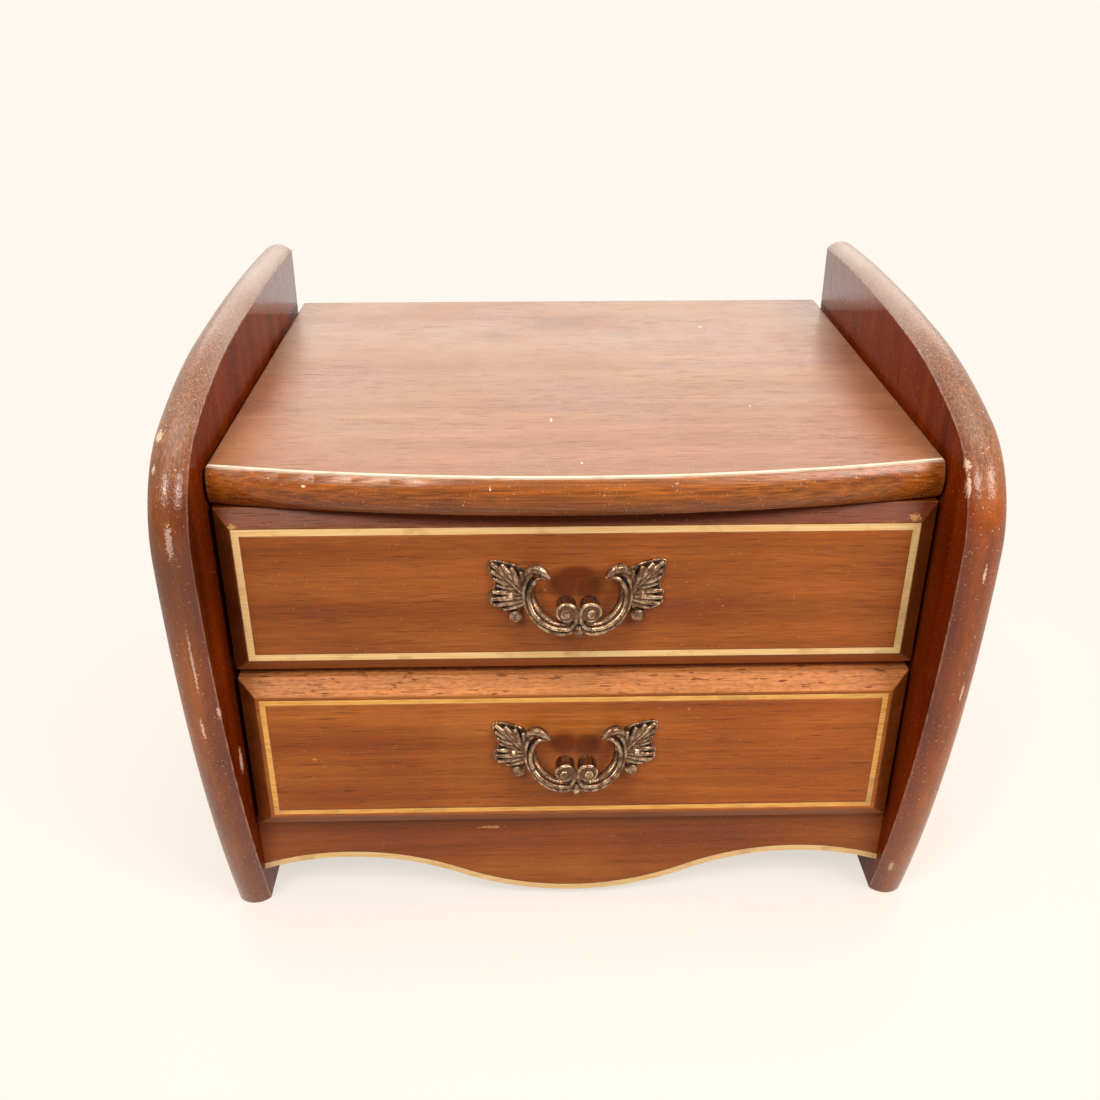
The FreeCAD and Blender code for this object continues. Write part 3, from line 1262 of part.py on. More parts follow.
def musicCylinder():
    """The shaft with its pinion, the pinned cylinder and the worm wheel."""
    at = (cylinderY, arborZ)
    shaftSpan = ("dim.pinionLeft - dim.shaftSpare", "dim.postRight + dim.postThick + dim.shaftSpare")
    solids = [
        rod("CylinderShaft", "X", shaftSpan, at, "dim.shaftRadius"),
        rod("CylinderDrum", "X", ("dim.cylinderLeft", cylinderRight), at, "dim.cylinderRadius"),
        gearOnX("Pinion", "dim.pinionLeft", "dim.pinionWidth", "dim.pinionRadius",
                "dim.pinionToothDepth", "dim.pinionToothGap", "dim.pinionTeeth"),
        gearOnX("WormWheel", "dim.wormWheelLeft", "dim.wormWheelThick", "dim.wormWheelRadius",
                "dim.wormWheelToothDepth", "dim.wormWheelToothGap", "dim.wormWheelTeeth"),
    ]
    for note in range(count("noteCount")):
        x = f"{combSpan[0]} + ({note} + 0.5) * ({between(*combSpan)}) / dim.noteCount"
        for turn in range(count("pinsPerNote")):
            angle = f"(({note} * 3 + {turn} * dim.noteCount) * dim.pinStepDegrees * 1 deg)"
            pin = doc.addObject("Part::Cylinder", f"Pin{note}x{turn}")
            bind(pin, "Radius", "dim.pinRadius")
            bind(pin, "Height", "dim.pinReach + dim.pinRoot")
            bind(pin, "Placement.Base.x", x)
            bind(pin, "Placement.Base.y", f"{cylinderY} - (dim.cylinderRadius - dim.pinRoot) * sin({angle})")
            bind(pin, "Placement.Base.z", f"{arborZ} + (dim.cylinderRadius - dim.pinRoot) * cos({angle})")
            pin.Placement.Rotation = FreeCAD.Rotation(FreeCAD.Vector(1, 0, 0), number(angle))
            solids.append(pin)
    return piece(joined("MusicCylinder", solids), "music_cylinder")


def comb():
    body = newBody("CombBlank")
    plate = newSketch(body, "XZ_Plane", f"-{combBackY}")
    tipZ = f"{arborZ} - dim.cylinderRadius - dim.combTipGap"
    rectangle(plate, combSpan, (f"{arborZ} - dim.combFoot", tipZ))
    feature(body, "Pad", plate, "dim.combThick")
    slots = newSketch(body, "XZ_Plane", f"-{combY}")
    for note in range(1, count("noteCount")):
        middle = f"{combSpan[0]} + {note} * ({between(*combSpan)}) / dim.noteCount"
        rectangle(slots, (f"{middle} - dim.combSlot / 2", f"{middle} + dim.combSlot / 2"),
                  (f"{arborZ} - dim.combRoot", f"{tipZ} + dim.rest"))
    feature(body, "Pocket", slots, "dim.combThick")
    holes = [
        rod(f"CombHole{index}", "Y", (f"{combY} - 1", f"{combBackY} + 1"), (x, combScrewZ), smallScrewHole)
        for index, x in enumerate(combScrewXs)
    ]
    return piece(cut("Comb", body, holes), "music_comb")


def governorBracket():
    """An arm over the fan that guides the stop plunger, a foot on the bedplate and a tab for the shaft."""
    across = (f"{governorX} - dim.bracketHalf", f"{governorX} + dim.bracketHalf")
    footUp = (f"{armUnder} - dim.bracketFoot", armTop)
    tabY = f"({plungerY} + dim.bracketTabBack)"
    arm = block("BracketArm", across, (f"{plungerY} - dim.bracketHalf", bedFrontY), (armUnder, armTop))
    foot = block("BracketFoot", across, (f"{bedFrontY} - dim.bracketThick", bedFrontY), footUp)
    tabUp = (f"{governorZ} - dim.bracketHalf", armUnder)
    tab = block("BracketTab", across, (tabY, f"{tabY} + dim.bracketThick"), tabUp)
    tabThrough = (f"{tabY} - 1", f"{tabY} + dim.bracketThick + 1")
    armThrough = (f"{armUnder} - 1", f"{armTop} + 1")
    footThrough = (f"{bedFrontY} - dim.bracketThick - 1", f"{bedFrontY} + 1")
    shaftHole = "dim.governorShaft + dim.slip"
    plungerHole = "dim.plungerRadius + dim.plungerPlay"
    cuts = [
        rod("BracketShaftHole", "Y", tabThrough, (governorX, governorZ), shaftHole),
        rod("BracketPlungerHole", "Z", armThrough, (governorX, plungerY), plungerHole),
        rod("BracketScrewHole", "Y", footThrough, (governorX, bracketScrewZ), smallScrewHole),
    ]
    return piece(cut("Bracket", joined("BracketWhole", [arm, foot, tab]), cuts), "governor_bracket")


def governor():
    """The worm's shaft with a two-bladed fan at its front end."""
    at = (governorX, governorZ)
    fanFrontY = f"({plungerY} - dim.fanDepth / 2)"
    fanAlong = (fanFrontY, f"{fanFrontY} + dim.fanDepth")
    fanAcross = (f"{governorX} - dim.fanRadius", f"{governorX} + dim.fanRadius")
    fanUp = (f"{governorZ} - dim.fanThick / 2", f"{governorZ} + dim.fanThick / 2")
    wormAlong = (f"{cylinderY} - dim.wormLength / 2", f"{cylinderY} + dim.wormLength / 2")
    shaftAlong = (f"{fanFrontY} - dim.rest", f"{bedFrontY} + dim.governorSeat - dim.rest")
    solids = [
        rod("GovernorShaft", "Y", shaftAlong, at, "dim.governorShaft"),
        rod("Worm", "Y", wormAlong, at, "dim.wormRadius"),
        rod("FanHub", "Y", fanAlong, at, "dim.governorShaft + dim.fanThick"),
        block("FanBlades", fanAcross, fanAlong, fanUp),
    ]
    return piece(joined("Governor", solids), "governor_fan")


def stopPlunger():
    """A pin that the closed lid holds down over the fan, with a collar that stops its rise at the cover."""
    at = (governorX, plungerY)
    collarTop = f"({coverUnder} - dim.rest - dim.plungerStroke)"
    pin = rod("PlungerPin", "Z", (f"{fanTop} + dim.plungerFanGap", rimZ), at, "dim.plungerRadius")
    collarSpan = (f"{collarTop} - dim.plungerCollarThick", collarTop)
    collar = rod("PlungerCollar", "Z", collarSpan, at, "dim.plungerCollar")
    return piece(joined("Plunger", [pin, collar]), "stop_plunger")


def windingKey():
    """A hub on the arbor and two flat, pierced wings."""
    hub = rod("KeyHub", "Y", (keyHubY, keyHubEnd), ("0", arborZ), "dim.keyHubRadius")
    solids = [hub]
    boreSpan = (f"{keyHubY} - 1", f"{keyHubEnd} - dim.keyHubWall")
    cuts = [rod("KeyBore", "Y", boreSpan, ("0", arborZ), "dim.arborRadius + dim.keyBoreFit")]
    wingUp = (f"{arborZ} - dim.keyWingThick / 2", f"{arborZ} + dim.keyWingThick / 2")
    wingY = f"{boxHalfDepth} - dim.keyWingRadius"
    for index, way in enumerate((-1, 1)):
        at = (f"{way} * dim.keyWingX", wingY)
        solids.append(rod(f"KeyWing{index}", "Z", wingUp, at, "dim.keyWingRadius"))
        cuts.append(rod(f"KeyHole{index}", "Z", (f"{wingUp[0]} - 1", f"{wingUp[1]} + 1"), at, "dim.keyHole"))
    return piece(cut("Key", joined("KeyWhole", solids), cuts), "winding_key")


bedplate()
springDrum()
mainspring()
windingArbor()
windingKey()
musicCylinder()
comb()
governorBracket()
governor()
stopPlunger()
smallScrew = ("dim.screwHead", "dim.screwHeadThick", "dim.screwShank", "dim.smallScrewLength", False)
smallScrewSpots = [(combY, x, combScrewZ) for x in combScrewXs]
smallScrewSpots.append((f"({bedFrontY} - dim.bracketThick)", governorX, bracketScrewZ))
smallScrews = [
    screw(f"SmallScrew{index}", "Y", f"({seat} - dim.screwHeadThick)", 1, (x, z), *smallScrew)
    for index, (seat, x, z) in enumerate(smallScrewSpots)
]
piece(together("SmallScrews", smallScrews), "comb_and_bracket_screws")
bedScrewLength = f"{between(bedFrontY, backOuterY)} + dim.bedScrewHeadThick"
bedScrews = [
    screw(f"BedScrew{index}", "Y", f"({backOuterY} + dim.bedScrewHeadThick)", -1, spot,
          "dim.bedScrewHead", "dim.bedScrewHeadThick", "dim.bedScrewShank", bedScrewLength, False)
    for index, spot in enumerate(bedScrewSpots)
]
piece(together("BedScrews", bedScrews), "movement_screws")


def finish():
    doc.recompute()
    for thing in doc.Objects:
        if "Invalid" in thing.State or "Error" in thing.State:
            raise RuntimeError(f"{thing.Label} did not compute: {thing.State}")
    labels = [thing.Label for thing in pieces]
    if len(set(labels)) != len(labels):
        raise RuntimeError("two sub-parts share a label")
    for thing in pieces:
        if thing.Shape.isNull() or not thing.Shape.isValid() or not thing.Shape.Solids:
            raise RuntimeError(f"{thing.Label} has no valid solid")
    os.makedirs("parts", exist_ok=True)
    for thing in pieces:
        thing.Shape.exportStep(f"parts/{thing.Label}.step")
    print(f"{len(pieces)} sub-parts written")


finish()
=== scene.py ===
import math

import bpy
from mathutils import Matrix, Vector, noise


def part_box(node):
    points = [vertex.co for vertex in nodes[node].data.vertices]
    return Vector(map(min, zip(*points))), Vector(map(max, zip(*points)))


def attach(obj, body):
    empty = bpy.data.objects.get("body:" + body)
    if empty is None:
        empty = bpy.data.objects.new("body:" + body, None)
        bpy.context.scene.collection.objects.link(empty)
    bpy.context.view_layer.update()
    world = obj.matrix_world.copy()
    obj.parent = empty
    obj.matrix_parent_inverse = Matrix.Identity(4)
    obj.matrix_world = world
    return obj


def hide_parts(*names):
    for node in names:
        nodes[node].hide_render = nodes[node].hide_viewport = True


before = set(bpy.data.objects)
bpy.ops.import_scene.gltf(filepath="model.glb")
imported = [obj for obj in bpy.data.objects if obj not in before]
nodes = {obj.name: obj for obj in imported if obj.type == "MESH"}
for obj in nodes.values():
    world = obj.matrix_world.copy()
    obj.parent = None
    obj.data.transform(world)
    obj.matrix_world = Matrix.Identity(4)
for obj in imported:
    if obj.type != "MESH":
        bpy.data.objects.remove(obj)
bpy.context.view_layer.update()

mm = 0.001
inMm = (1000, 1000, 1000)  # scales metres to mm


# small helpers

def linear(colour):  # an sRGB hex colour as the linear RGBA that a socket takes
    parts = [int(colour[i:i + 2], 16) / 255 for i in (1, 3, 5)]
    return [c / 12.92 if c <= 0.04045 else ((c + 0.055) / 1.055) ** 2.4 for c in parts] + [1]


def addNode(tree, kind, inputs=(), stops=(), **settings):  # a node with its settings, values and links
    node = tree.nodes.new("ShaderNode" + kind)
    for name, value in settings.items():
        setattr(node, name, value)
    if not isinstance(inputs, dict):  # a list fills the sockets in use, in their order
        inputs = dict(zip([i for i, socket in enumerate(node.inputs) if socket.enabled], inputs))
    for socket, value in inputs.items():
        if isinstance(value, bpy.types.Node):  # a node stands for its first output in use
            value = next(output for output in value.outputs if output.enabled)
        if isinstance(value, bpy.types.NodeSocket):
            tree.links.new(value, node.inputs[socket])
        else:
            node.inputs[socket].default_value = linear(value) if isinstance(value, str) else value
    for i, (place, colour) in enumerate(stops):
        elements = node.color_ramp.elements
        stop = elements[i] if i < 2 else elements.new(place)
        stop.position = place
        stop.color = linear(colour)
    return node


def newMaterial(name):
    material = bpy.data.materials.new(name)
    material.use_nodes = True
    material.node_tree.nodes.clear()
    return material, material.node_tree


def nothingSelected():
    bpy.ops.object.select_all(action="DESELECT")


def onlySelected(*pieces):
    nothingSelected()
    for piece in pieces:
        piece.select_set(True)
    bpy.context.view_layer.objects.active = pieces[0]


def joined(name, pieces):
    onlySelected(*pieces)
    bpy.ops.object.join()
    piece = bpy.context.object
    piece.name = piece.data.name = name
    bpy.ops.object.transform_apply(location=True, rotation=True, scale=True)
    return piece


def withModifier(piece, kind, **settings):  # adds a modifier and applies it
    onlySelected(piece)
    modifier = piece.modifiers.new(kind.title(), kind)
    for name, value in settings.items():
        setattr(modifier, name, value)
    bpy.ops.object.modifier_apply(modifier=modifier.name)


def painted(piece, material):
    piece.data.materials.clear()
    piece.data.materials.append(material)


def dressed(piece, name, material, node, body):  # a smooth, painted piece that stands for a node
    piece.name = piece.data.name = name
    painted(piece, material)
    onlySelected(piece)
    bpy.ops.object.shade_smooth()
    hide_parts(node)
    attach(piece, body)


def thickened(piece, look):  # a flat cloth gets its thickness and soft edges
    withModifier(piece, "SOLIDIFY", thickness=look["thick"] * mm, offset=-1)
    withModifier(piece, "BEVEL", width=look["edge"] * mm, segments=3, limit_method="ANGLE",
                 angle_limit=math.radians(50))


# the camera stands where the photograph was taken from

cameraLook = {
    "place": (-16.24, -419.24, 333.77),  # mm
    "down": 27.89,  # degrees below level
    "turn": 1.28,  # degrees towards the right
    "lens": 37.50, "sensor": 36, "nearest": 10,
}


def standCamera():
    bpy.ops.object.camera_add(
        location=Vector(cameraLook["place"]) * mm,
        rotation=(math.radians(90 - cameraLook["down"]), 0, -math.radians(cameraLook["turn"])))
    camera = bpy.context.object
    camera.name = "photoCamera"
    camera.data.lens = cameraLook["lens"]
    camera.data.sensor_width = cameraLook["sensor"]
    camera.data.clip_start = cameraLook["nearest"] * mm
    bpy.context.scene.camera = camera


nothingSelected()
standCamera()
print("camera placed")


# a pale floor and soft studio light

studio = {
    "pale": "#FFF8EE",  # the background's warm white
    "floorSize": 30.0,
    "floorShade": 0.32,  # how much of the floor's own shading the camera sees, near the object
    "shadeFrom": 0.15, "shadeTo": 0.33,  # m from the middle, where that fades out
    "bounce": "#8E867B",  # the paper as the object's light sees it
    "roomLight": 0.28,
    "roomShine": 0.25,  # the unlit room in front of the object, as lacquer and brass show it
    "roomEdge": (-0.35, 0.15),  # the direction, front to back, over which it brightens
    "lampsAim": (0, 0, 0.1),
    # each lamp: place and size in metres, power in watts, colour
    "lamps": {
        "topLamp": ((0.0, 0.15, 1.5), (1.5, 1.1), 11, "#FFF6EA"),
        "backLamp": ((0.1, 1.7, 0.95), (2.2, 0.9), 9.8, "#FFFAF4"),
        "leftLamp": ((-0.45, -0.78, 0.98), (0.3, 0.4), 7.2, "#FFF6EA"),
        "rightLamp": ((0.62, -0.66, 0.86), (0.45, 0.4), 8.0, "#FFF6EA"),
    },
}


def seenRays(tree, ray):  # the rays that show the studio itself: straight, mirrored or through glass
    seen = addNode(tree, "Math", [ray.outputs["Is Camera Ray"], ray.outputs["Is Glossy Ray"]],
                   operation="MAXIMUM")
    return addNode(tree, "Math", [seen, ray.outputs["Is Transmission Ray"]], operation="MAXIMUM")


def paleFloor():
    bpy.ops.mesh.primitive_plane_add(size=studio["floorSize"])
    floor = bpy.context.object
    floor.name = "studioFloor"
    material, tree = newMaterial("paleStudioPaper")
    seen = seenRays(tree, addNode(tree, "LightPath"))
    place = addNode(tree, "TexCoord")
    away = addNode(tree, "VectorMath", [place.outputs["Object"]], operation="LENGTH")
    clear = addNode(tree, "MapRange", [away, studio["shadeFrom"], studio["shadeTo"],
                                       1 - studio["floorShade"], 1.0], interpolation_type="SMOOTHSTEP")
    share = addNode(tree, "Math", [seen, clear], operation="MULTIPLY")
    tint = addNode(tree, "Mix", [seen, studio["bounce"], studio["pale"]], data_type="RGBA")
    paper = addNode(tree, "BsdfDiffuse", {"Color": tint})
    bright = addNode(tree, "Emission", {"Color": studio["pale"], "Strength": 1.0})
    shader = addNode(tree, "MixShader", [share, paper, bright])
    addNode(tree, "OutputMaterial", {"Surface": shader})
    painted(floor, material)


def roomLight():
    world = bpy.context.scene.world or bpy.data.worlds.new("studioRoom")
    bpy.context.scene.world = world
    world.use_nodes = True
    tree = world.node_tree
    tree.nodes.clear()
    ray = addNode(tree, "LightPath")
    place = addNode(tree, "TexCoord")
    way = addNode(tree, "SeparateXYZ", [place.outputs["Generated"]])
    backdrop = addNode(tree, "MapRange", [way.outputs["Y"], *studio["roomEdge"], studio["roomShine"], 1.0],
                       interpolation_type="SMOOTHSTEP")
    shown = addNode(tree, "Math", [seenRays(tree, ray), backdrop], operation="MULTIPLY")
    shown = addNode(tree, "Math", [shown, ray.outputs["Is Camera Ray"]], operation="MAXIMUM")
    level = addNode(tree, "MapRange", [shown, 0, 1, studio["roomLight"], 1.0])
    back = addNode(tree, "Background", {"Color": studio["pale"], "Strength": level})
    addNode(tree, "OutputWorld", {"Surface": back})


def hangLamps():
    for name, (place, size, watts, colour) in studio["lamps"].items():
        bpy.ops.object.light_add(type="AREA", location=place)
        lamp = bpy.context.object
        lamp.name = name
        lamp.data.shape = "RECTANGLE"
        lamp.data.size, lamp.data.size_y = size
        lamp.data.energy = watts
        lamp.data.color = linear(colour)[:3]
        aim = Vector(studio["lampsAim"]) - Vector(place)
        lamp.rotation_euler = aim.to_track_quat("-Z", "Y").to_euler()
        lamp.visible_camera = False


paleFloor()
roomLight()
hangLamps()
bpy.context.scene.view_settings.view_transform = "Standard"
print("floor and light placed")


# stained and lacquered wood: cherry-like, brown-red stain, satin lacquer worn through on the arrises.
# It shows soft growth bands, fine fibre streaks, short open pores and near-black end grain.
# rubs and dark spots are (middle, half sizes) in mm: knocks to the bare wood, and dark spots: marks on the lid,
# darker patches behind the pulls, and painted shade on the left board's crowned edge, where the lacquer
# reflects the dark room.
# the side light (from x, to x, tone there, tone here) is painted light: the wood grows lighter towards the end
# where more light falls; peel is how uneven the lacquer dried

stainedWoods = {
    "stainedWoodLid": {
        "grain": "x", "shift": (0, 40, 9),
        "dark": "#8E5028", "mid": "#995C31", "light": "#A66A40", "endGrain": "#2C0B04", "endStreak": "#5A2A14",
        "worn": "#EAD4BC", "figure": 0.09, "nose": 0.9, "noseTint": "#FFE27C", "fibre": 0.2, "pore": 0.25,
        "roughness": 0.26, "shine": 0.4, "wear": 0.5, "dustAndSheen": 0.35, "flecksFrom": 0.8, "peel": 0,
        "rubs": [((-86, -92.1, 184.1), (0.8, 3, 0.45)), ((-27.6, -97.4, 184.9), (0.3, 3, 0.8)),
                 ((59, 59.7, 188), (0.9, 1.6, 1)), ((-7.6, -47.7, 188), (0.5, 2.4, 1)),
                 ((1.4, -85.1, 188), (0.5, 1, 1)), ((63.7, -35.7, 188), (0.4, 1, 1))],
        "stainAndShadeTone": "#4A2A18", "stainAndShadeShare": 0.3,
        "stainsAndShade": [((38, 9.8, 188), (4.2, 2.2, 1)), ((91.2, 8.7, 188), (3.4, 1.6, 1)),
                   ((-2, 66, 188), (16, 11, 1)), ((-28, 52, 188), (8, 12, 1)), ((24, 50, 188), (9, 7, 1))],
    },
    "stainedWoodFrontUpper": {
        "grain": "x", "shift": (130, 0, 0),
        "dark": "#8A441A", "mid": "#9A521F", "light": "#AE602A", "endGrain": "#1C0501", "endStreak": "#2E0C04",
        "worn": "#C98E58", "figure": 0.1, "nose": 0, "fibre": 0.17, "pore": 0.4,
        "roughness": 0.4, "shine": 0.3, "wear": 0.55, "dustAndSheen": 0.0, "flecksFrom": 0.8, "peel": 0,
        # bevel is painted shade: the upward bevel is tinted darker, standing in for the shadow of the lid's
        # nose
        # the right end is painted lighter, standing in for the light that falls there
        "bevel": "#BEA488", "paintedSideLight": (-110, 110, 0.88, 1.16),
        "rubs": [((-110.8, -90.4, 168.9), (1.6, 2, 1.0)), ((109.2, -89.5, 169.9), (2.0, 2, 1.2)),
                 ((-10.6, -90.6, 144.9), (0.7, 1, 0.5))],
        "stainAndShadeTone": "#561E04", "stainAndShadeShare": 0.78,
        "stainsAndShade": [((-4, -90.6, 147), (5.5, 3, 5.5)), ((4, -90.6, 146), (5.5, 3, 5.5)),
                   ((0, -90.6, 151), (7, 3, 2.5))],
    },
    "stainedWoodFrontLower": {
        "grain": "x", "shift": (-90, 60, 31),
        "dark": "#8F4618", "mid": "#A5561E", "light": "#C0702E", "endGrain": "#1C0501", "endStreak": "#2E0C04",
        "worn": "#C98E58", "figure": 0.16, "nose": 0, "fibre": 0.16, "pore": 0.5,
        "roughness": 0.38, "shine": 0.3, "wear": 0.55, "dustAndSheen": 0.0, "flecksFrom": 0.8, "peel": 0,
        # the bevel's paler ground is painted light, where the light falls on it; its dark pits are real
        # the right end is painted lighter, standing in for the light that falls there
        "pitted": "#5A2410", "pittedGround": "#E8A468", "paintedSideLight": (40, 115, 1.0, 1.2),
        "rubs": [((-93, -90.6, 76), (0.9, 1, 0.7)), ((40, -90.6, 96), (0.6, 1, 0.6))],
        "stainAndShadeTone": "#561E04", "stainAndShadeShare": 0.72,
        "stainsAndShade": [((-4, -90.6, 82), (5, 3, 5)), ((4, -90.6, 81), (5, 3, 5))],
    },
    "stainedWoodApron": {
        "grain": "x", "shift": (20, 110, 3),
        "dark": "#84411C", "mid": "#9A5124", "light": "#B2662F", "endGrain": "#240803", "endStreak": "#3A140A",
        "worn": "#C98E62", "figure": 0.1, "nose": 0, "fibre": 0.12, "pore": 0.4,
        "roughness": 0.42, "shine": 0.3, "wear": 0.5, "dustAndSheen": 0.0, "flecksFrom": 0.8, "peel": 0,
        "rubs": [((-31.6, -82.2, 36.2), (5, 2, 0.8))], "stainsAndShade": [],
    },
    "stainedWoodSide": {
        "grain": "z", "shift": (0, 15, 70),
        "dark": "#823C0E", "mid": "#9E5014", "light": "#B46426", "endGrain": "#62300F", "endStreak": "#965C2E",
        # face is painted shade: the inner faces are tinted darker, standing in for the shade between the boards
        "face": "#C49262", "worn": "#EEC8B0", "figure": 0.12, "nose": 0, "fibre": 0.12, "pore": 0.6,
        "roughness": 0.17, "polish": 0.04, "matt": 0.16,  # how much smoother or rougher the flat faces are
        "shine": 0.5, "outside": 0.2, "dull": 0.02, "bright": 0.9,  # crowned edge, outer and inner faces
        # the right board is painted lighter, standing in for the light that falls there
        "wear": 1.0, "dustAndSheen": 0.5, "flecksFrom": 0.755, "peel": 2.5, "paintedSideLight": (-130, 130, 0.97, 1.13),
        "rubs": [((-129.1, -88.8, 199.9), (1.6, 3, 2.6)), ((-129.3, -98.7, 192.9), (0.8, 2, 1.8)),
                 ((-124.3, -110, 174.6), (1.2, 5, 6.5)), ((-123.6, -110, 130), (0.5, 4, 14)),
                 ((-124.9, -107.3, 102.1), (0.6, 4, 5)), ((-119.3, -105.5, 107.6), (0.5, 2, 3)),
                 ((119.5, -98.4, 192), (0.9, 3, 2.2)), ((119.4, -102.3, 187), (0.6, 3, 5)),
                 ((125.8, -111.3, 160.5), (0.5, 2, 3.4)), ((127.5, -108.3, 114.2), (0.5, 3, 4.5)),
                 ((122.6, -88.6, 19.5), (0.9, 3, 4)), ((-119, -91.1, 76.7), (0.4, 2, 6))],
        # painted shade: a darker patch on the left board's crowned edge, standing in for the dark room that the
        # lacquer reflects there
        "stainAndShadeTone": "#3A180A", "stainAndShadeShare": 0.5, "stainsAndShade": [((-125, -106, 164), (20, 20, 30))],
    },
    "stainedWoodCase": {
        "grain": "x", "shift": (55, 5, 90),
        "dark": "#74381A", "mid": "#8A4822", "light": "#9C5A30", "endGrain": "#35120A", "endStreak": "#4A2012",
        "worn": "#A8714A", "figure": 0.12, "nose": 0, "fibre": 0.12, "pore": 0.5,
        "roughness": 0.45, "shine": 0.3, "wear": 0.3, "dustAndSheen": 0.0, "flecksFrom": 0.8, "peel": 0,
        "rubs": [], "stainsAndShade": [],
    },
}
woodScale = {  # mm, along and across the grain
    "band": (190, 11), "mottle": (60, 38), "figure": (120, 1.6), "nose": (60, 0.8),
    "fibre": (8, 0.45),  # real fibres are finer, drawn so coarse that they show
    "pore": (10, 0.4), "pit": (5, 1.2), "ground": (2.4, 1.0), "peel": (2.2, 1.5), "rub": (6, 3),
    "film": (60, 45),
    "streak": (0.55, 0.55, 3.2),  # short lines on the crowned edges
    "chip": 0.625, "fleck": 0.9, "arris": 1.1, "relief": 0.14,
}
bounds = {  # what a noise, a direction or a place starts and ends at, and the share it gives there
    "bands": (0.36, 0.5, 0.64), "mottled": 0.45, "swing": (0.3, 0.7),
    "pores": (0.63, 0.72), "pit": (0.62, 0.68, 0, 0.8), "ground": (0.3, 0.7, 0.25, 0.6),
    "streaks": (0.34, 0.64, 0.58, 1.3), "short": (0.42, 0.6), "ends": (0.35, 0.8, 0, 0.92),
    "ahead": (-0.1, -0.5), "bevel": (0.2, 0.5), "upward": (0.3, 0.9),  # of the normal
    "arris": (0.99, 0.95), "onFace": (0.9, 0.98), "offFace": (0.98, 0.9),
    "inward": (0, -100), "rearward": (-40, 80, 0.3, 1), "corner": (212, 220),  # mm
    "rubbed": (0.42, 0.62, 0.35, 1), "spot": (1.3, 0.3), "rubs": (0.96, 1.06), "stainsAndShade": (0.6, 1.3),
    "soft": (0.2, 0.8), "flecks": 0.06, "fleckShare": 0.5, "film": (0.4, 0.65, 0.35, 1),
    "smoother": 0.04, "rougher": 0.08, "wornRough": 0.25, "noseSmooth": 0.06,
    "lean": 0.29,  # how much further down the polish of the handled corner reaches per mm to the back
    "slant": 50,  # degrees, the crowned edges' lines
}
# the film's pale grey: dust, and painted sheen on the tops
dustAndSheenGrey = "#B8A898"


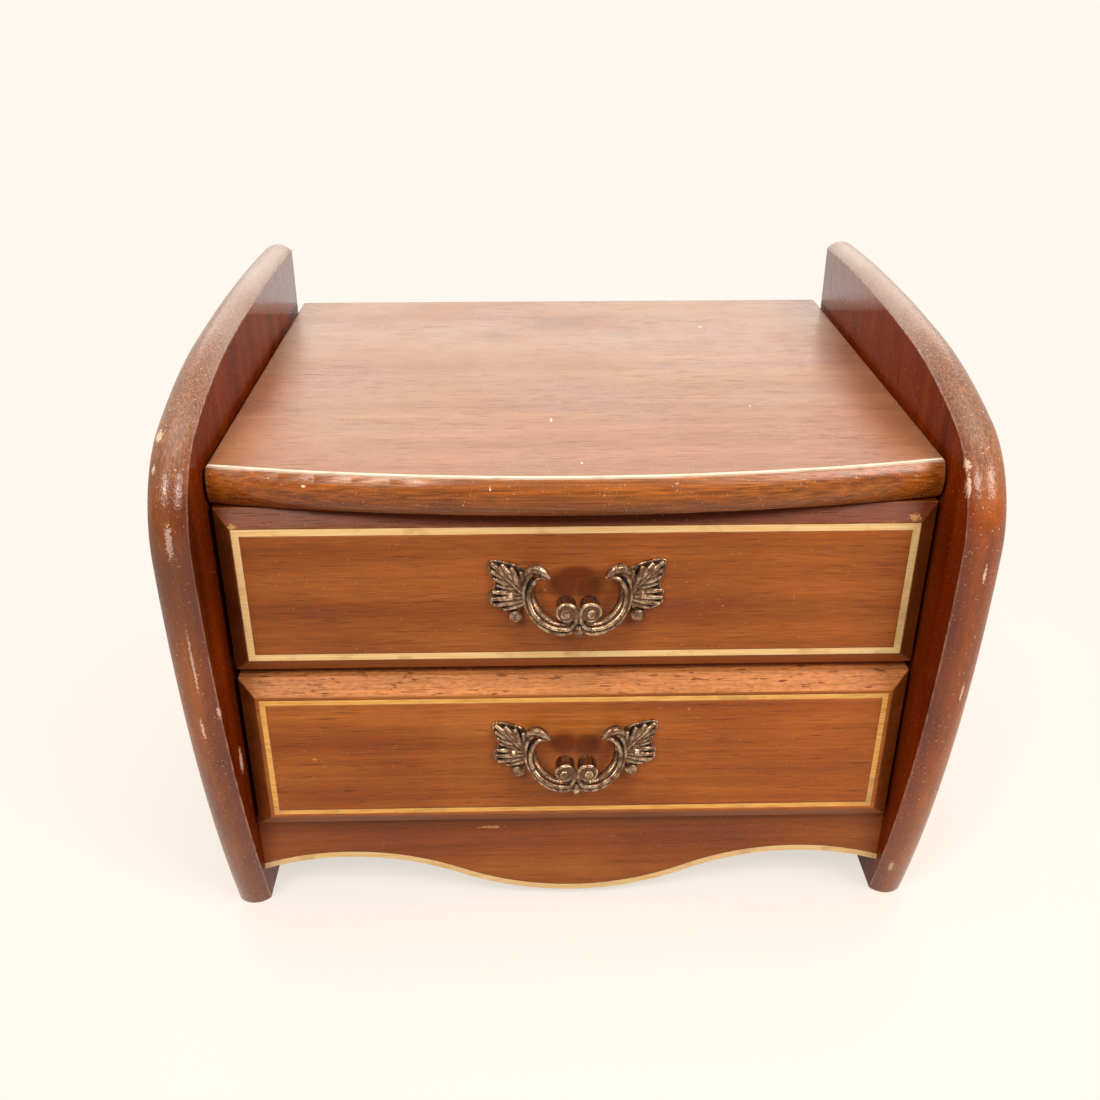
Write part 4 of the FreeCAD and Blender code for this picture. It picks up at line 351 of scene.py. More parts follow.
def stainedWood(name, look):
    material, tree = newMaterial(name)
    upright = look["grain"] == "z"
    place = addNode(tree, "TexCoord")
    board = addNode(tree, "Mapping", {  # in mm, with the grain along x
        "Vector": place.outputs["Object"], "Scale": inMm, "Location": look["shift"],
        "Rotation": (0, math.pi / 2 if upright else 0, 0)})
    onPiece = addNode(tree, "VectorMath", [place.outputs["Object"], inMm], operation="MULTIPLY")
    facing = addNode(tree, "SeparateXYZ", [place.outputs["Normal"]])
    part = addNode(tree, "SeparateXYZ", [onPiece])

    def pattern(size, detail=2.0, distortion=0.0):  # noise stretched along the grain
        along, across = woodScale[size]
        fitted = addNode(tree, "VectorMath", [board, (1 / along, 1 / across, 1 / across)], operation="MULTIPLY")
        return addNode(tree, "TexNoise", {"Vector": fitted, "Scale": 1.0, "Detail": detail,
                                          "Distortion": distortion})

    def patches(places, broken, edge):  # spots in set places, with a broken edge
        shown = 0.0
        for middle, size in places:
            away = addNode(tree, "VectorMath", [onPiece, middle], operation="SUBTRACT")
            away = addNode(tree, "VectorMath", [away, [1 / s for s in size]], operation="MULTIPLY")
            away = addNode(tree, "VectorMath", [away], operation="LENGTH")
            spot = addNode(tree, "MapRange", [away, *bounds["spot"]])
            shown = addNode(tree, "Math", [shown, spot], operation="MAXIMUM")
        shown = addNode(tree, "Math", [shown, broken], operation="ADD")
        return addNode(tree, "MapRange", [shown, *edge])

    def tinted(colour, share, tint):  # a deeper stain on a share of the wood
        deeper = addNode(tree, "Mix", [share, "#FFFFFF", tint], data_type="RGBA")
        return addNode(tree, "VectorMath", [colour, deeper], operation="MULTIPLY")

    bands, mottle, fibres = pattern("band", 3, 0.1), pattern("mottle"), pattern("fibre", 3)
    figure, rub = pattern("figure", 4), pattern("rub", 4)
    pores = addNode(tree, "MapRange", [pattern("pore", 1), *bounds["pores"]])
    blend = addNode(tree, "Mix", [bounds["mottled"], bands, mottle])
    low, middle, high = bounds["bands"]
    colour = addNode(tree, "ValToRGB", [blend], stops=[
        (low, look["dark"]), (high, look["light"]), (middle, look["mid"])])
    if upright:  # painted shade: the boards' inner faces, which look at each other, are tinted darker, standing in for the shade between them
        sideways = addNode(tree, "Math", [facing.outputs["X"]], operation="ABSOLUTE")
        inward = addNode(tree, "Math", [facing.outputs["X"], part.outputs["X"]], operation="MULTIPLY")
        inward = addNode(tree, "MapRange", [inward, *bounds["inward"]])
        colour = tinted(colour, inward, look["face"])
    above = addNode(tree, "MapRange", [facing.outputs["Z"], *bounds["bevel"]])
    if "bevel" in look:  # painted shade: the upward bevel under the lid's nose is tinted darker, standing in for the nose's shadow
        colour = tinted(colour, above, look["bevel"])
    if "pitted" in look:  # the bevel between the drawers is coarse, with dark open pits; its paler, patchy ground is painted light, where the light falls on the upward bevel
        for size, detail, cover in (("ground", 4, look["pittedGround"]), ("pit", 2, look["pitted"])):
            marks = addNode(tree, "MapRange", [pattern(size, detail), *bounds[size]])
            marks = addNode(tree, "Math", [above, marks], operation="MULTIPLY")
            colour = addNode(tree, "Mix", [marks, colour, cover], data_type="RGBA")
    tone = 1.0
    for marks, depth in ((figure, look["figure"]), (fibres, look["fibre"])):
        swing = addNode(tree, "MapRange", [marks, *bounds["swing"], 1 - depth, 1 + depth])
        tone = addNode(tree, "Math", [tone, swing], operation="MULTIPLY")
    if "paintedSideLight" in look:  # painted light: the wood is lighter towards the end where more light falls
        sideLit = addNode(tree, "MapRange", [part.outputs["X"], *look["paintedSideLight"]])
        tone = addNode(tree, "Math", [tone, sideLit], operation="MULTIPLY")
    if look["nose"]:  # the bullnose is cut across the growth rings, so it is streaked
        ahead = addNode(tree, "MapRange", [facing.outputs["Y"], *bounds["ahead"], 0, look["nose"]])
        streaks = addNode(tree, "MapRange", [pattern("nose", 4, 0.2), *bounds["streaks"]])
        streaks = addNode(tree, "Mix", [ahead, 1.0, streaks])
        tone = addNode(tree, "Math", [tone, streaks], operation="MULTIPLY")
        colour = tinted(colour, ahead, look["noseTint"])
    colour = addNode(tree, "VectorMath", [colour, tone], operation="MULTIPLY")
    filled = addNode(tree, "Math", [pores, look["pore"]], operation="MULTIPLY")
    colour = addNode(tree, "Mix", [filled, colour, look["endGrain"]], data_type="RGBA")
    # end grain drinks more stain and shows short lines
    ends = addNode(tree, "Math", [facing.outputs["Z" if upright else "X"]], operation="ABSOLUTE")
    ends = addNode(tree, "MapRange", [ends, *bounds["ends"]])
    slanted = addNode(tree, "Mapping", {"Vector": onPiece, "Rotation": (math.radians(bounds["slant"]), 0, 0)})
    slanted = addNode(tree, "VectorMath", [slanted, [1 / s for s in woodScale["streak"]]], operation="MULTIPLY")
    short = addNode(tree, "TexNoise", {"Vector": slanted, "Scale": 1.0, "Detail": 2.0})
    endTone = addNode(tree, "MapRange", [short, *bounds["short"]])
    endTone = addNode(tree, "Mix", [endTone, look["endGrain"], look["endStreak"]], data_type="RGBA")
    colour = addNode(tree, "Mix", [ends, colour, endTone], data_type="RGBA")
    # arrises, knocks and flecks rubbed through to the lighter wood
    rounded = addNode(tree, "Bevel", {"Radius": woodScale["arris"] * mm}, samples=4)
    surface = addNode(tree, "NewGeometry")
    arris = addNode(tree, "VectorMath", [rounded, surface.outputs["Normal"]], operation="DOT_PRODUCT")
    arris = addNode(tree, "MapRange", [arris, *bounds["arris"]])
    rubbed = addNode(tree, "MapRange", [rub, *bounds["rubbed"]])
    worn = addNode(tree, "Math", [arris, rubbed], operation="MULTIPLY")
    worn = addNode(tree, "Math", [worn, look["wear"]], operation="MULTIPLY")
    if look["rubs"]:
        chips = addNode(tree, "TexNoise", {"Vector": onPiece, "Scale": 1 / woodScale["chip"], "Detail": 3.0})
        chips = addNode(tree, "MapRange", [chips, *bounds["swing"]])
        knocks = patches(look["rubs"], chips, bounds["rubs"])
        worn = addNode(tree, "Math", [worn, knocks], operation="MAXIMUM")
    flecks = addNode(tree, "TexNoise", {"Vector": onPiece, "Scale": 1 / woodScale["fleck"], "Detail": 0.0})
    flecks = addNode(tree, "MapRange", [flecks, look["flecksFrom"], look["flecksFrom"] + bounds["flecks"], 0,
                                        bounds["fleckShare"]])
    if upright:
        offFace = addNode(tree, "MapRange", [sideways, *bounds["offFace"]])
        flecks = addNode(tree, "Math", [flecks, offFace], operation="MULTIPLY")
    worn = addNode(tree, "Math", [worn, flecks], operation="MAXIMUM")
    colour = addNode(tree, "Mix", [worn, colour, look["worn"]], data_type="RGBA")
    # dark spots: marks on the lid, darker patches behind the pulls, and painted shade on the left board's
    # crowned edge
    if look["stainsAndShade"]:
        soft = addNode(tree, "MapRange", [mottle, *bounds["soft"]])
        stainAndShadeMask = patches(look["stainsAndShade"], soft, bounds["stainsAndShade"])
        stainAndShadeMask = addNode(tree, "Math", [stainAndShadeMask, look["stainAndShadeShare"]], operation="MULTIPLY")
        colour = addNode(tree, "Mix", [stainAndShadeMask, colour, look["stainAndShadeTone"]], data_type="RGBA")
    if look["dustAndSheen"]:  # a pale grey film on the upward faces, stronger towards the back: partly dust, partly painted sheen standing in for the glare that the tops catch
        film = addNode(tree, "MapRange", [pattern("film", 5), *bounds["film"]])
        upward = addNode(tree, "MapRange", [facing.outputs["Z"], *bounds["upward"], 0, look["dustAndSheen"]])
        rearward = addNode(tree, "MapRange", [part.outputs["Y"], *bounds["rearward"]])
        film = addNode(tree, "Math", [film, upward], operation="MULTIPLY")
        film = addNode(tree, "Math", [film, rearward], operation="MULTIPLY")
        colour = addNode(tree, "Mix", [film, colour, dustAndSheenGrey], data_type="RGBA")
    height = addNode(tree, "Math", [fibres, pores], operation="SUBTRACT")
    height = addNode(tree, "Math", [height, worn], operation="SUBTRACT")
    ridges = addNode(tree, "Math", [short, ends], operation="MULTIPLY")
    height = addNode(tree, "Math", [height, ridges], operation="ADD")
    if look["peel"]:  # lacquer that dried uneven breaks up the highlights
        peel = addNode(tree, "Math", [pattern("peel"), look["peel"]], operation="MULTIPLY")
        height = addNode(tree, "Math", [height, peel], operation="ADD")
    bump = addNode(tree, "Bump", {"Height": height, "Strength": 0.4, "Distance": woodScale["relief"] * mm,
                                  "Normal": rounded})
    gloss = addNode(tree, "MapRange", [mottle, *bounds["swing"], look["roughness"] - bounds["smoother"],
                                       look["roughness"] + bounds["rougher"]])
    dulled = addNode(tree, "Math", [worn, bounds["wornRough"]], operation="MULTIPLY")
    gloss = addNode(tree, "Math", [gloss, dulled], operation="ADD")
    shine = look["shine"]
    if look["nose"]:  # the nose is polished by hands
        smoother = addNode(tree, "Math", [ahead, bounds["noseSmooth"]], operation="MULTIPLY")
        gloss = addNode(tree, "Math", [gloss, smoother], operation="SUBTRACT")
    if upright:  # the inner sides are polished at the upper back corner, where hands hold them, else dull
        onFace = addNode(tree, "MapRange", [sideways, *bounds["onFace"]])
        flat = addNode(tree, "Mix", [inward, look["matt"], -look["polish"]])
        flat = addNode(tree, "Math", [onFace, flat], operation="MULTIPLY")
        gloss = addNode(tree, "Math", [gloss, flat], operation="ADD")
        corner = addNode(tree, "Math", [part.outputs["Y"], bounds["lean"]], operation="MULTIPLY")
        corner = addNode(tree, "Math", [part.outputs["Z"], corner], operation="ADD")
        handled = addNode(tree, "MapRange", [corner, *bounds["corner"], look["dull"], look["bright"]])
        shine = addNode(tree, "Mix", [inward, look["outside"], handled])
        shine = addNode(tree, "Mix", [onFace, look["shine"], shine])
    shader = addNode(tree, "BsdfPrincipled", {
        "Base Color": colour, "Roughness": gloss, "IOR": 1.5, "Specular IOR Level": shine, "Normal": bump})
    addNode(tree, "OutputMaterial", {"Surface": shader})
    return material


# pale unstained wood of the hidden boards: planed birch, matt, with faint brown streaks

plainWoodLook = {
    "dark": "#B58D5E", "light": "#DDBD8E", "fleck": "#8E6238", "tones": (0.35, 0.62),
    "band": (150, 9), "fibre": (14, 0.5), "relief": 0.1,  # mm
    "flecks": (0.55, 0.75, 0, 0.45), "roughness": (0.54, 0.72),
}


def plainWood(name, grain):
    look = plainWoodLook
    material, tree = newMaterial(name)
    place = addNode(tree, "TexCoord")
    turn = math.pi / 2 if grain == "y" else 0
    board = addNode(tree, "Mapping", {"Vector": place.outputs["Object"], "Rotation": (0, 0, turn),
                                      "Scale": inMm})
    noises = []
    for (along, across), detail, distortion in ((look["band"], 3.0, 0.4), (look["fibre"], 2.0, 0.0)):
        fitted = addNode(tree, "VectorMath", [board, (1 / along, 1 / across, 1 / across)], operation="MULTIPLY")
        noises.append(addNode(tree, "TexNoise", {"Vector": fitted, "Scale": 1.0, "Detail": detail,
                                                 "Distortion": distortion}))
    bands, fibres = noises
    wood = addNode(tree, "ValToRGB", [bands], stops=zip(look["tones"], (look["dark"], look["light"])))
    flecks = addNode(tree, "MapRange", [fibres, *look["flecks"]])
    colour = addNode(tree, "Mix", [flecks, wood, look["fleck"]], data_type="RGBA")
    bump = addNode(tree, "Bump", {"Height": fibres, "Strength": 0.4, "Distance": look["relief"] * mm})
    gloss = addNode(tree, "MapRange", [fibres, 0, 1, *look["roughness"]])
    shader = addNode(tree, "BsdfPrincipled", {
        "Base Color": colour, "Roughness": gloss, "Normal": bump})
    addNode(tree, "OutputMaterial", {"Surface": shader})
    return material


# the light lines: dyed maple veneer on the upper drawer, lid and apron, gold paint on the lower drawer.
# Veneer is warm yellow with a faint grain, paint is deeper, with brush marks and grey worn places.

lineLooks = {
    "mapleVeneer": {"low": "#F4BE76", "high": "#FFE2AC", "worn": "#B07C3C", "wornShare": 0.4, "metal": 0.0,
                    "roughness": 0.42, "along": 22, "across": 0.6},
    "mapleVeneerPale": {"low": "#E6C8AC", "high": "#FFF0E2", "worn": "#B8864E", "wornShare": 0.5, "metal": 0.0,
                        "roughness": 0.42, "along": 22, "across": 0.6},
    "goldPaint": {"low": "#E09E4A", "high": "#FFC66C", "worn": "#A68E66", "wornShare": 0.6, "metal": 0.3,
                  "roughness": 0.4, "along": 9, "across": 0.8},
}
lineMarks = {
    "rub": 10.526, "relief": 0.05,  # mm, how far apart the worn places are and how deep the grain
    "tones": (0.3, 0.7), "rubbed": (0.56, 0.7), "smoother": 0.08, "rougher": 0.2,
}


def lightLine(name, look):
    marks = lineMarks
    material, tree = newMaterial(name)
    place = addNode(tree, "TexCoord")
    fine = addNode(tree, "VectorMath", [
        place.outputs["Object"], (1000 / look["along"], 1000 / look["across"], 1000 / look["across"])],
        operation="MULTIPLY")
    grain = addNode(tree, "TexNoise", {"Vector": fine, "Scale": 1.0, "Detail": 2.0})
    rub = addNode(tree, "TexNoise", {"Vector": place.outputs["Object"], "Scale": 1000 / marks["rub"],
                                     "Detail": 4.0})
    tone = addNode(tree, "ValToRGB", [grain], stops=zip(marks["tones"], (look["low"], look["high"])))
    rubbed = addNode(tree, "MapRange", [rub, *marks["rubbed"], 0, look["wornShare"]])
    colour = addNode(tree, "Mix", [rubbed, tone, look["worn"]], data_type="RGBA")
    bump = addNode(tree, "Bump", {"Height": grain, "Strength": 0.3, "Distance": marks["relief"] * mm})
    gloss = addNode(tree, "MapRange", [rub, 0, 1, look["roughness"] - marks["smoother"],
                                       look["roughness"] + marks["rougher"]])
    shader = addNode(tree, "BsdfPrincipled", {
        "Base Color": colour, "Metallic": look["metal"], "Roughness": gloss, "Normal": bump})
    addNode(tree, "OutputMaterial", {"Surface": shader})
    return material


# metals: rolled brass, turned steel, blued spring steel and silvered glass, with line and length in mm

metalLooks = {
    "rolledBrass": {"low": "#A8812F", "high": "#D2AC5A", "roughness": 0.3, "line": 0.5, "length": 14},
    "brightSteel": {"low": "#8C8C8A", "high": "#B9B8B4", "roughness": 0.3, "line": 0.4, "length": 10},
    "bluedSpringSteel": {"low": "#2E3440", "high": "#566074", "roughness": 0.28, "line": 0.5, "length": 20},
    "silveredGlass": {"low": "#E6EAE9", "high": "#E7EBEA", "roughness": 0.03, "line": 90, "length": 120},
}
metalMarks = {
    "tarnish": 6.25, "relief": 0.02,  # mm
    "tones": (0.38, 0.62), "lines": (0.3, 0.7), "smooth": 0.8, "rough": 1.3,
}


def plainMetal(name, look):  # fine drawn or rolled lines, with thin tarnish between
    marks = metalMarks
    material, tree = newMaterial(name)
    place = addNode(tree, "TexCoord")
    fine = addNode(tree, "VectorMath", [
        place.outputs["Object"], (1000 / look["length"], 1000 / look["line"], 1000 / look["line"])],
        operation="MULTIPLY")
    lines = addNode(tree, "TexNoise", {"Vector": fine, "Scale": 1.0, "Detail": 2.0})
    tarnish = addNode(tree, "TexNoise", {"Vector": place.outputs["Object"], "Scale": 1000 / marks["tarnish"],
                                         "Detail": 4.0})
    tone = addNode(tree, "ValToRGB", [tarnish], stops=zip(marks["tones"], (look["low"], look["high"])))
    bump = addNode(tree, "Bump", {"Height": lines, "Strength": 0.15, "Distance": marks["relief"] * mm})
    gloss = addNode(tree, "MapRange", [lines, *marks["lines"], look["roughness"] * marks["smooth"],
                                       look["roughness"] * marks["rough"]])
    shader = addNode(tree, "BsdfPrincipled", {
        "Base Color": tone, "Metallic": 1.0, "Roughness": gloss, "Normal": bump})
    addNode(tree, "OutputMaterial", {"Surface": shader})
    return material


# antiqued cast brass: dark wash in the recesses, rubbed warm on the ridges, gritty all over

castBrassLook = {
    "recess": "#080503", "body": "#7E5A42", "rubbed": "#FFDCB4",
    "grit": 0.7,  # mm, the sand's grain on the casting
    "clouds": 2.381, "relief": 0.1,  # mm, how far apart the rubbed places are and how deep the grit
    "shadeReach": 1.3,  # mm, how wide a recess keeps its dark wash
    "free": (0.64, 0.95), "valley": (0.43, 0.485), "ridge": (0.5, 0.535), "patchy": (0.4, 0.6),
    "gritty": (0.35, 0.6, 0.45, 1.1), "roughness": (0.7, 0.24), "metal": (0.2, 1.0),
}


def castBrass(name):
    look = castBrassLook
    material, tree = newMaterial(name)
    place = addNode(tree, "TexCoord")
    grit = addNode(tree, "TexNoise", {"Vector": place.outputs["Object"], "Scale": 1000 / look["grit"],
                                      "Detail": 3.0})
    cloud = addNode(tree, "TexNoise", {"Vector": place.outputs["Object"], "Scale": 1000 / look["clouds"],
                                       "Detail": 3.0})
    hollow = addNode(tree, "AmbientOcclusion", {"Distance": look["shadeReach"] * mm}, samples=8,
                     only_local=True)
    surface = addNode(tree, "NewGeometry")
    free = addNode(tree, "MapRange", [hollow.outputs["AO"], *look["free"]])
    valley = addNode(tree, "MapRange", [surface.outputs["Pointiness"], *look["valley"]])
    ridge = addNode(tree, "MapRange", [surface.outputs["Pointiness"], *look["ridge"]])
    patchy = addNode(tree, "MapRange", [cloud, *look["patchy"]])
    gritty = addNode(tree, "MapRange", [grit, *look["gritty"]])
    high = addNode(tree, "Math", [ridge, patchy], operation="MULTIPLY")
    metal = addNode(tree, "Mix", [high, look["body"], look["rubbed"]], data_type="RGBA")
    clean = addNode(tree, "Math", [free, valley], operation="MULTIPLY")
    clean = addNode(tree, "Math", [clean, gritty], operation="MULTIPLY", use_clamp=True)
    colour = addNode(tree, "Mix", [clean, look["recess"], metal], data_type="RGBA")
    gloss = addNode(tree, "MapRange", [clean, 0, 1, *look["roughness"]])
    bump = addNode(tree, "Bump", {"Height": grit, "Strength": 0.5, "Distance": look["relief"] * mm})
    shine = addNode(tree, "MapRange", [clean, 0, 1, *look["metal"]])
    shader = addNode(tree, "BsdfPrincipled", {
        "Base Color": colour, "Metallic": shine, "Roughness": gloss, "Normal": bump})
    addNode(tree, "OutputMaterial", {"Surface": shader})
    return material


# cotton velvet, wine red: short pile that darkens and lightens in brushed patches, with a soft sheen

velvetLook = {
    "deep": "#5C101B", "lit": "#7C1A29", "glow": "#E88A94", "tones": (0.36, 0.64), "roughness": (0.8, 0.95),
    "pile": 0.5, "brushed": 34, "relief": 0.25,  # mm
    "pileShare": 0.4, "sheen": 0.6, "sheenRough": 0.35,
}


def velvet(name):
    look = velvetLook
    material, tree = newMaterial(name)
    place = addNode(tree, "TexCoord")
    pile = addNode(tree, "TexNoise", {"Vector": place.outputs["Object"], "Scale": 1000 / look["pile"],
                                      "Detail": 2.0})
    nap = addNode(tree, "TexNoise", {"Vector": place.outputs["Object"], "Scale": 1000 / look["brushed"],
                                     "Detail": 3.0, "Distortion": 0.8})
    both = addNode(tree, "Mix", [look["pileShare"], nap, pile])
    tone = addNode(tree, "ValToRGB", [both], stops=zip(look["tones"], (look["deep"], look["lit"])))
    bump = addNode(tree, "Bump", {"Height": pile, "Strength": 0.6, "Distance": look["relief"] * mm})
    rough = addNode(tree, "MapRange", [nap, 0, 1, *look["roughness"]])
    shader = addNode(tree, "BsdfPrincipled", {
        "Base Color": tone, "Roughness": rough, "Specular IOR Level": 0.2, "Sheen Weight": look["sheen"],
        "Sheen Roughness": look["sheenRough"], "Sheen Tint": look["glow"], "Normal": bump})
    addNode(tree, "OutputMaterial", {"Surface": shader})
    return material


woods = {name: stainedWood(name, look) for name, look in stainedWoods.items()}
lines = {name: lightLine(name, look) for name, look in lineLooks.items()}
metals = {name: plainMetal(name, look) for name, look in metalLooks.items()}
antiqueBrass = castBrass("antiquedCastBrass")
wineVelvet = velvet("wineRedVelvet")
birchAcross, birchDeep = plainWood("planedBirchAcross", "x"), plainWood("planedBirchDeep", "y")

finishes = {
    woods["stainedWoodLid"]: ["lid_board"],
    woods["stainedWoodFrontUpper"]: ["upper_drawer_front"],
    woods["stainedWoodFrontLower"]: ["lower_drawer_front"],
    woods["stainedWoodApron"]: ["apron"],
    woods["stainedWoodSide"]: ["side_panel_left", "side_panel_right"],
    woods["stainedWoodCase"]: ["back_panel", "tray_front_rail", "music_cover", "tray_divider_long",
                               "tray_divider_cross"],
    birchAcross: ["bottom_board", "divider_board", "tray_floor", "music_partition", "cover_cleats",
                  "apron_blocks", "upper_drawer_back", "upper_drawer_bottom", "lower_drawer_back",
                  "lower_drawer_bottom"],
    birchDeep: ["tray_side_left", "tray_side_right", "upper_drawer_side_left", "upper_drawer_side_right",
                "lower_drawer_side_left", "lower_drawer_side_right"],
    lines["mapleVeneer"]: ["upper_drawer_inlay", "apron_banding"],
    lines["mapleVeneerPale"]: ["lid_inlay"],
    lines["goldPaint"]: ["lower_drawer_inlay"],
    metals["rolledBrass"]: ["hinge_leaves_case", "hinge_leaves_lid", "music_bedplate", "spring_drum",
                            "governor_bracket", "music_cylinder"],
    metals["brightSteel"]: ["hinge_pins", "hinge_screws_case", "hinge_screws_lid", "cover_screws", "music_comb",
                            "comb_and_bracket_screws", "movement_screws", "winding_key", "winding_arbor",
                            "governor_fan", "stop_plunger"],
    metals["bluedSpringSteel"]: ["mainspring"],
    metals["silveredGlass"]: ["lid_mirror"],
    antiqueBrass: ["upper_drawer_pull_nails", "lower_drawer_pull_nails"],
}
for material, names in finishes.items():
    for name in names:
        for slot in nodes[name].material_slots:
            slot.material = material
print("materials assigned")


# the cast pull: acanthus leaves, rolled leaf tips, two-ridged arms, volutes, a tail and berries.
# Points are (right, up, forward, radius) in mm from the middle of the pull on the drawer's face.
# Only the right half is modelled, and it is mirrored before the parts are fused.

pullLook = {
    "fuse": 0.25,  # mm, the grid that fuses the parts, about as sharp as a sand casting
    "kept": 0.7,  # of its faces
    "rodSides": 3, "rodSteps": 8, "discSides": 40, "ballSides": 24, "ballRings": 16,
    "leafThick": 1.0,
    "leafOutline": [(16.6, 8.0), (18.6, 9.8), (21.4, 11.0), (24.8, 12.0), (27.6, 12.4), (29.0, 11.9),
                    (29.1, 9.6), (28.7, 7.0), (27.8, 5.0), (27.0, 3.6), (27.6, 2.2), (28.9, 0.2),
                    (29.1, -2.4), (28.6, -3.9), (27.4, -5.2), (25.2, -6.3), (22.6, -6.6), (19.6, -5.8),
                    (16.6, -4.0), (15.6, 1.5)],
    "upperFingers": [
        [(17.1, 0.6, 2.6, 0.7), (17.5, 4.5, 3.0, 1.1), (18.3, 9.0, 2.6, 0.8)],
        [(17.9, 1.4, 2.1, 0.6), (19.9, 6.0, 2.5, 1.15), (21.4, 10.2, 1.9, 0.75)],
        [(19.2, 3.2, 1.9, 0.6), (22.3, 7.9, 2.3, 1.15), (24.8, 11.2, 1.7, 0.75)],
        [(17.6, 0.2, 2.1, 0.7), (21.5, 4.8, 2.2, 0.85), (25.4, 9.3, 2.2, 1.0), (28.2, 11.6, 1.5, 0.7)],
        [(21.5, 5.0, 1.7, 0.6), (25.4, 7.4, 2.1, 1.1), (28.2, 8.9, 1.5, 0.75)],
        [(20.2, 3.4, 1.7, 0.6), (24.4, 4.9, 2.1, 1.05), (27.6, 6.0, 1.5, 0.7)],
        [(18.6, 1.7, 1.7, 0.6), (23.4, 2.9, 1.9, 0.9), (26.6, 3.5, 1.5, 0.6)],
    ],
    "lowerFingers": [
        [(18.0, 0.2, 1.9, 0.7), (22.0, 0.7, 1.8, 1.0), (25.2, 1.0, 2.0, 0.95), (27.9, 0.9, 1.5, 0.65)],
        [(17.8, -0.9, 2.0, 0.7), (23.5, -1.2, 2.2, 1.05), (28.4, -1.9, 1.5, 0.7)],
        [(17.6, -2.0, 2.1, 0.7), (23.0, -3.1, 2.2, 1.1), (27.5, -4.2, 1.5, 0.7)],
        [(17.2, -3.0, 2.2, 0.7), (20.8, -4.4, 2.1, 1.1), (24.4, -5.8, 1.5, 0.7)],
    ],
    "curl": [(17.0, 7.8, 2.8, 1.0), (15.2, 10.0, 3.4, 1.7), (12.9, 10.5, 4.2, 1.9), (10.7, 9.4, 4.9, 1.4),
             (9.0, 7.7, 5.4, 0.5)],
    "armRidges": [
        [(9.8, 7.9, 5.2, 0.5), (12.4, 7.8, 5.4, 0.75), (14.7, 5.6, 5.8, 0.8), (15.8, 2.4, 6.6, 0.85),
         (15.2, -1.4, 8.2, 0.9), (13.0, -4.5, 10.0, 0.9), (9.6, -6.4, 11.6, 0.9), (5.4, -6.8, 13.0, 0.85),
         (2.2, -5.8, 13.8, 0.8), (0.9, -3.6, 14.1, 0.75)],
        [(13.4, 9.6, 4.0, 0.8), (16.1, 7.2, 4.0, 0.9), (17.3, 3.5, 4.8, 0.9), (17.0, -0.6, 6.2, 0.95),
         (15.0, -4.6, 8.0, 0.95), (11.9, -7.5, 9.6, 0.95), (7.9, -8.9, 11.2, 0.95), (4.0, -8.7, 12.4, 0.9),
         (0.9, -6.6, 13.4, 0.8)],
    ],
    "armCore": [(14.8, 6.6, 2.8, 1.6), (15.5, 2.8, 3.6, 1.8), (15.0, -0.8, 5.0, 1.9), (13.0, -4.0, 7.0, 1.9),
                (9.9, -6.1, 8.8, 1.9), (6.1, -6.9, 10.4, 1.8), (2.6, -5.8, 11.4, 1.8), (1.8, -3.0, 11.4, 1.6)],
    "volute": {"middle": (3.85, -0.2), "radius": 3.35, "back": 8.0, "front": 14.3},
    "voluteEye": {"middle": (4.3, -0.5), "radius": 1.5, "back": 12.0, "front": 14.8},
    "voluteLine": [(0.9, -3.6, 14.1, 0.75), (0.5, -0.6, 14.1, 0.75), (1.6, 2.1, 14.1, 0.75),
                   (4.2, 3.0, 14.1, 0.7), (6.6, 1.6, 14.0, 0.6), (7.0, -1.0, 13.9, 0.5)],
    "tail": [(0.0, -5.2, 13.0, 1.1), (0.0, -7.3, 13.7, 1.6), (0.0, -9.2, 13.4, 0.9)],
    "berry": {"middle": (20.2, -8.3), "radius": 2.5, "thick": 3.4},
    "stem": [(18.8, -4.6, 1.2, 0.8), (19.8, -6.4, 1.3, 0.9), (20.2, -8.0, 1.3, 1.0)],
    "nailSeat": {"middle": (22.0, 0.0), "radius": 1.9, "back": 0.2, "front": 2.6},
}


def castRod(points):  # a round rod through points, thick or thin as they say
    bpy.ops.curve.primitive_bezier_curve_add()
    rod = bpy.context.object
    line = rod.data.splines[0]
    line.bezier_points.add(len(points) - 2)
    for knot, (right, up, forward, radius) in zip(line.bezier_points, points):
        knot.co = Vector((right, -forward, up)) * mm
        knot.radius = radius
        knot.handle_left_type = knot.handle_right_type = "AUTO"
    rod.data.bevel_depth = mm
    rod.data.bevel_resolution = pullLook["rodSides"]
    rod.data.resolution_u = pullLook["rodSteps"]
    rod.data.use_fill_caps = True
    bpy.ops.object.convert(target="MESH")
    return bpy.context.object


def leafPlate(outline, thick):
    bpy.ops.mesh.primitive_circle_add(vertices=len(outline), radius=mm, fill_type="NGON")
    plate = bpy.context.object
    for corner, (right, up) in zip(plate.data.vertices, outline):
        corner.co = Vector((right, 0, up)) * mm
    bpy.ops.object.mode_set(mode="EDIT")
    bpy.ops.mesh.select_all(action="SELECT")
    bpy.ops.mesh.extrude_region_move(TRANSFORM_OT_translate={"value": (0, -thick * mm, 0)})
    bpy.ops.object.mode_set(mode="OBJECT")
    return plate


def castDisc(disc):
    right, up = disc["middle"]
    bpy.ops.mesh.primitive_cylinder_add(
        vertices=pullLook["discSides"], radius=disc["radius"] * mm, depth=(disc["front"] - disc["back"]) * mm,
        rotation=(math.pi / 2, 0, 0),
        location=Vector((right, -(disc["front"] + disc["back"]) / 2, up)) * mm)
    return bpy.context.object


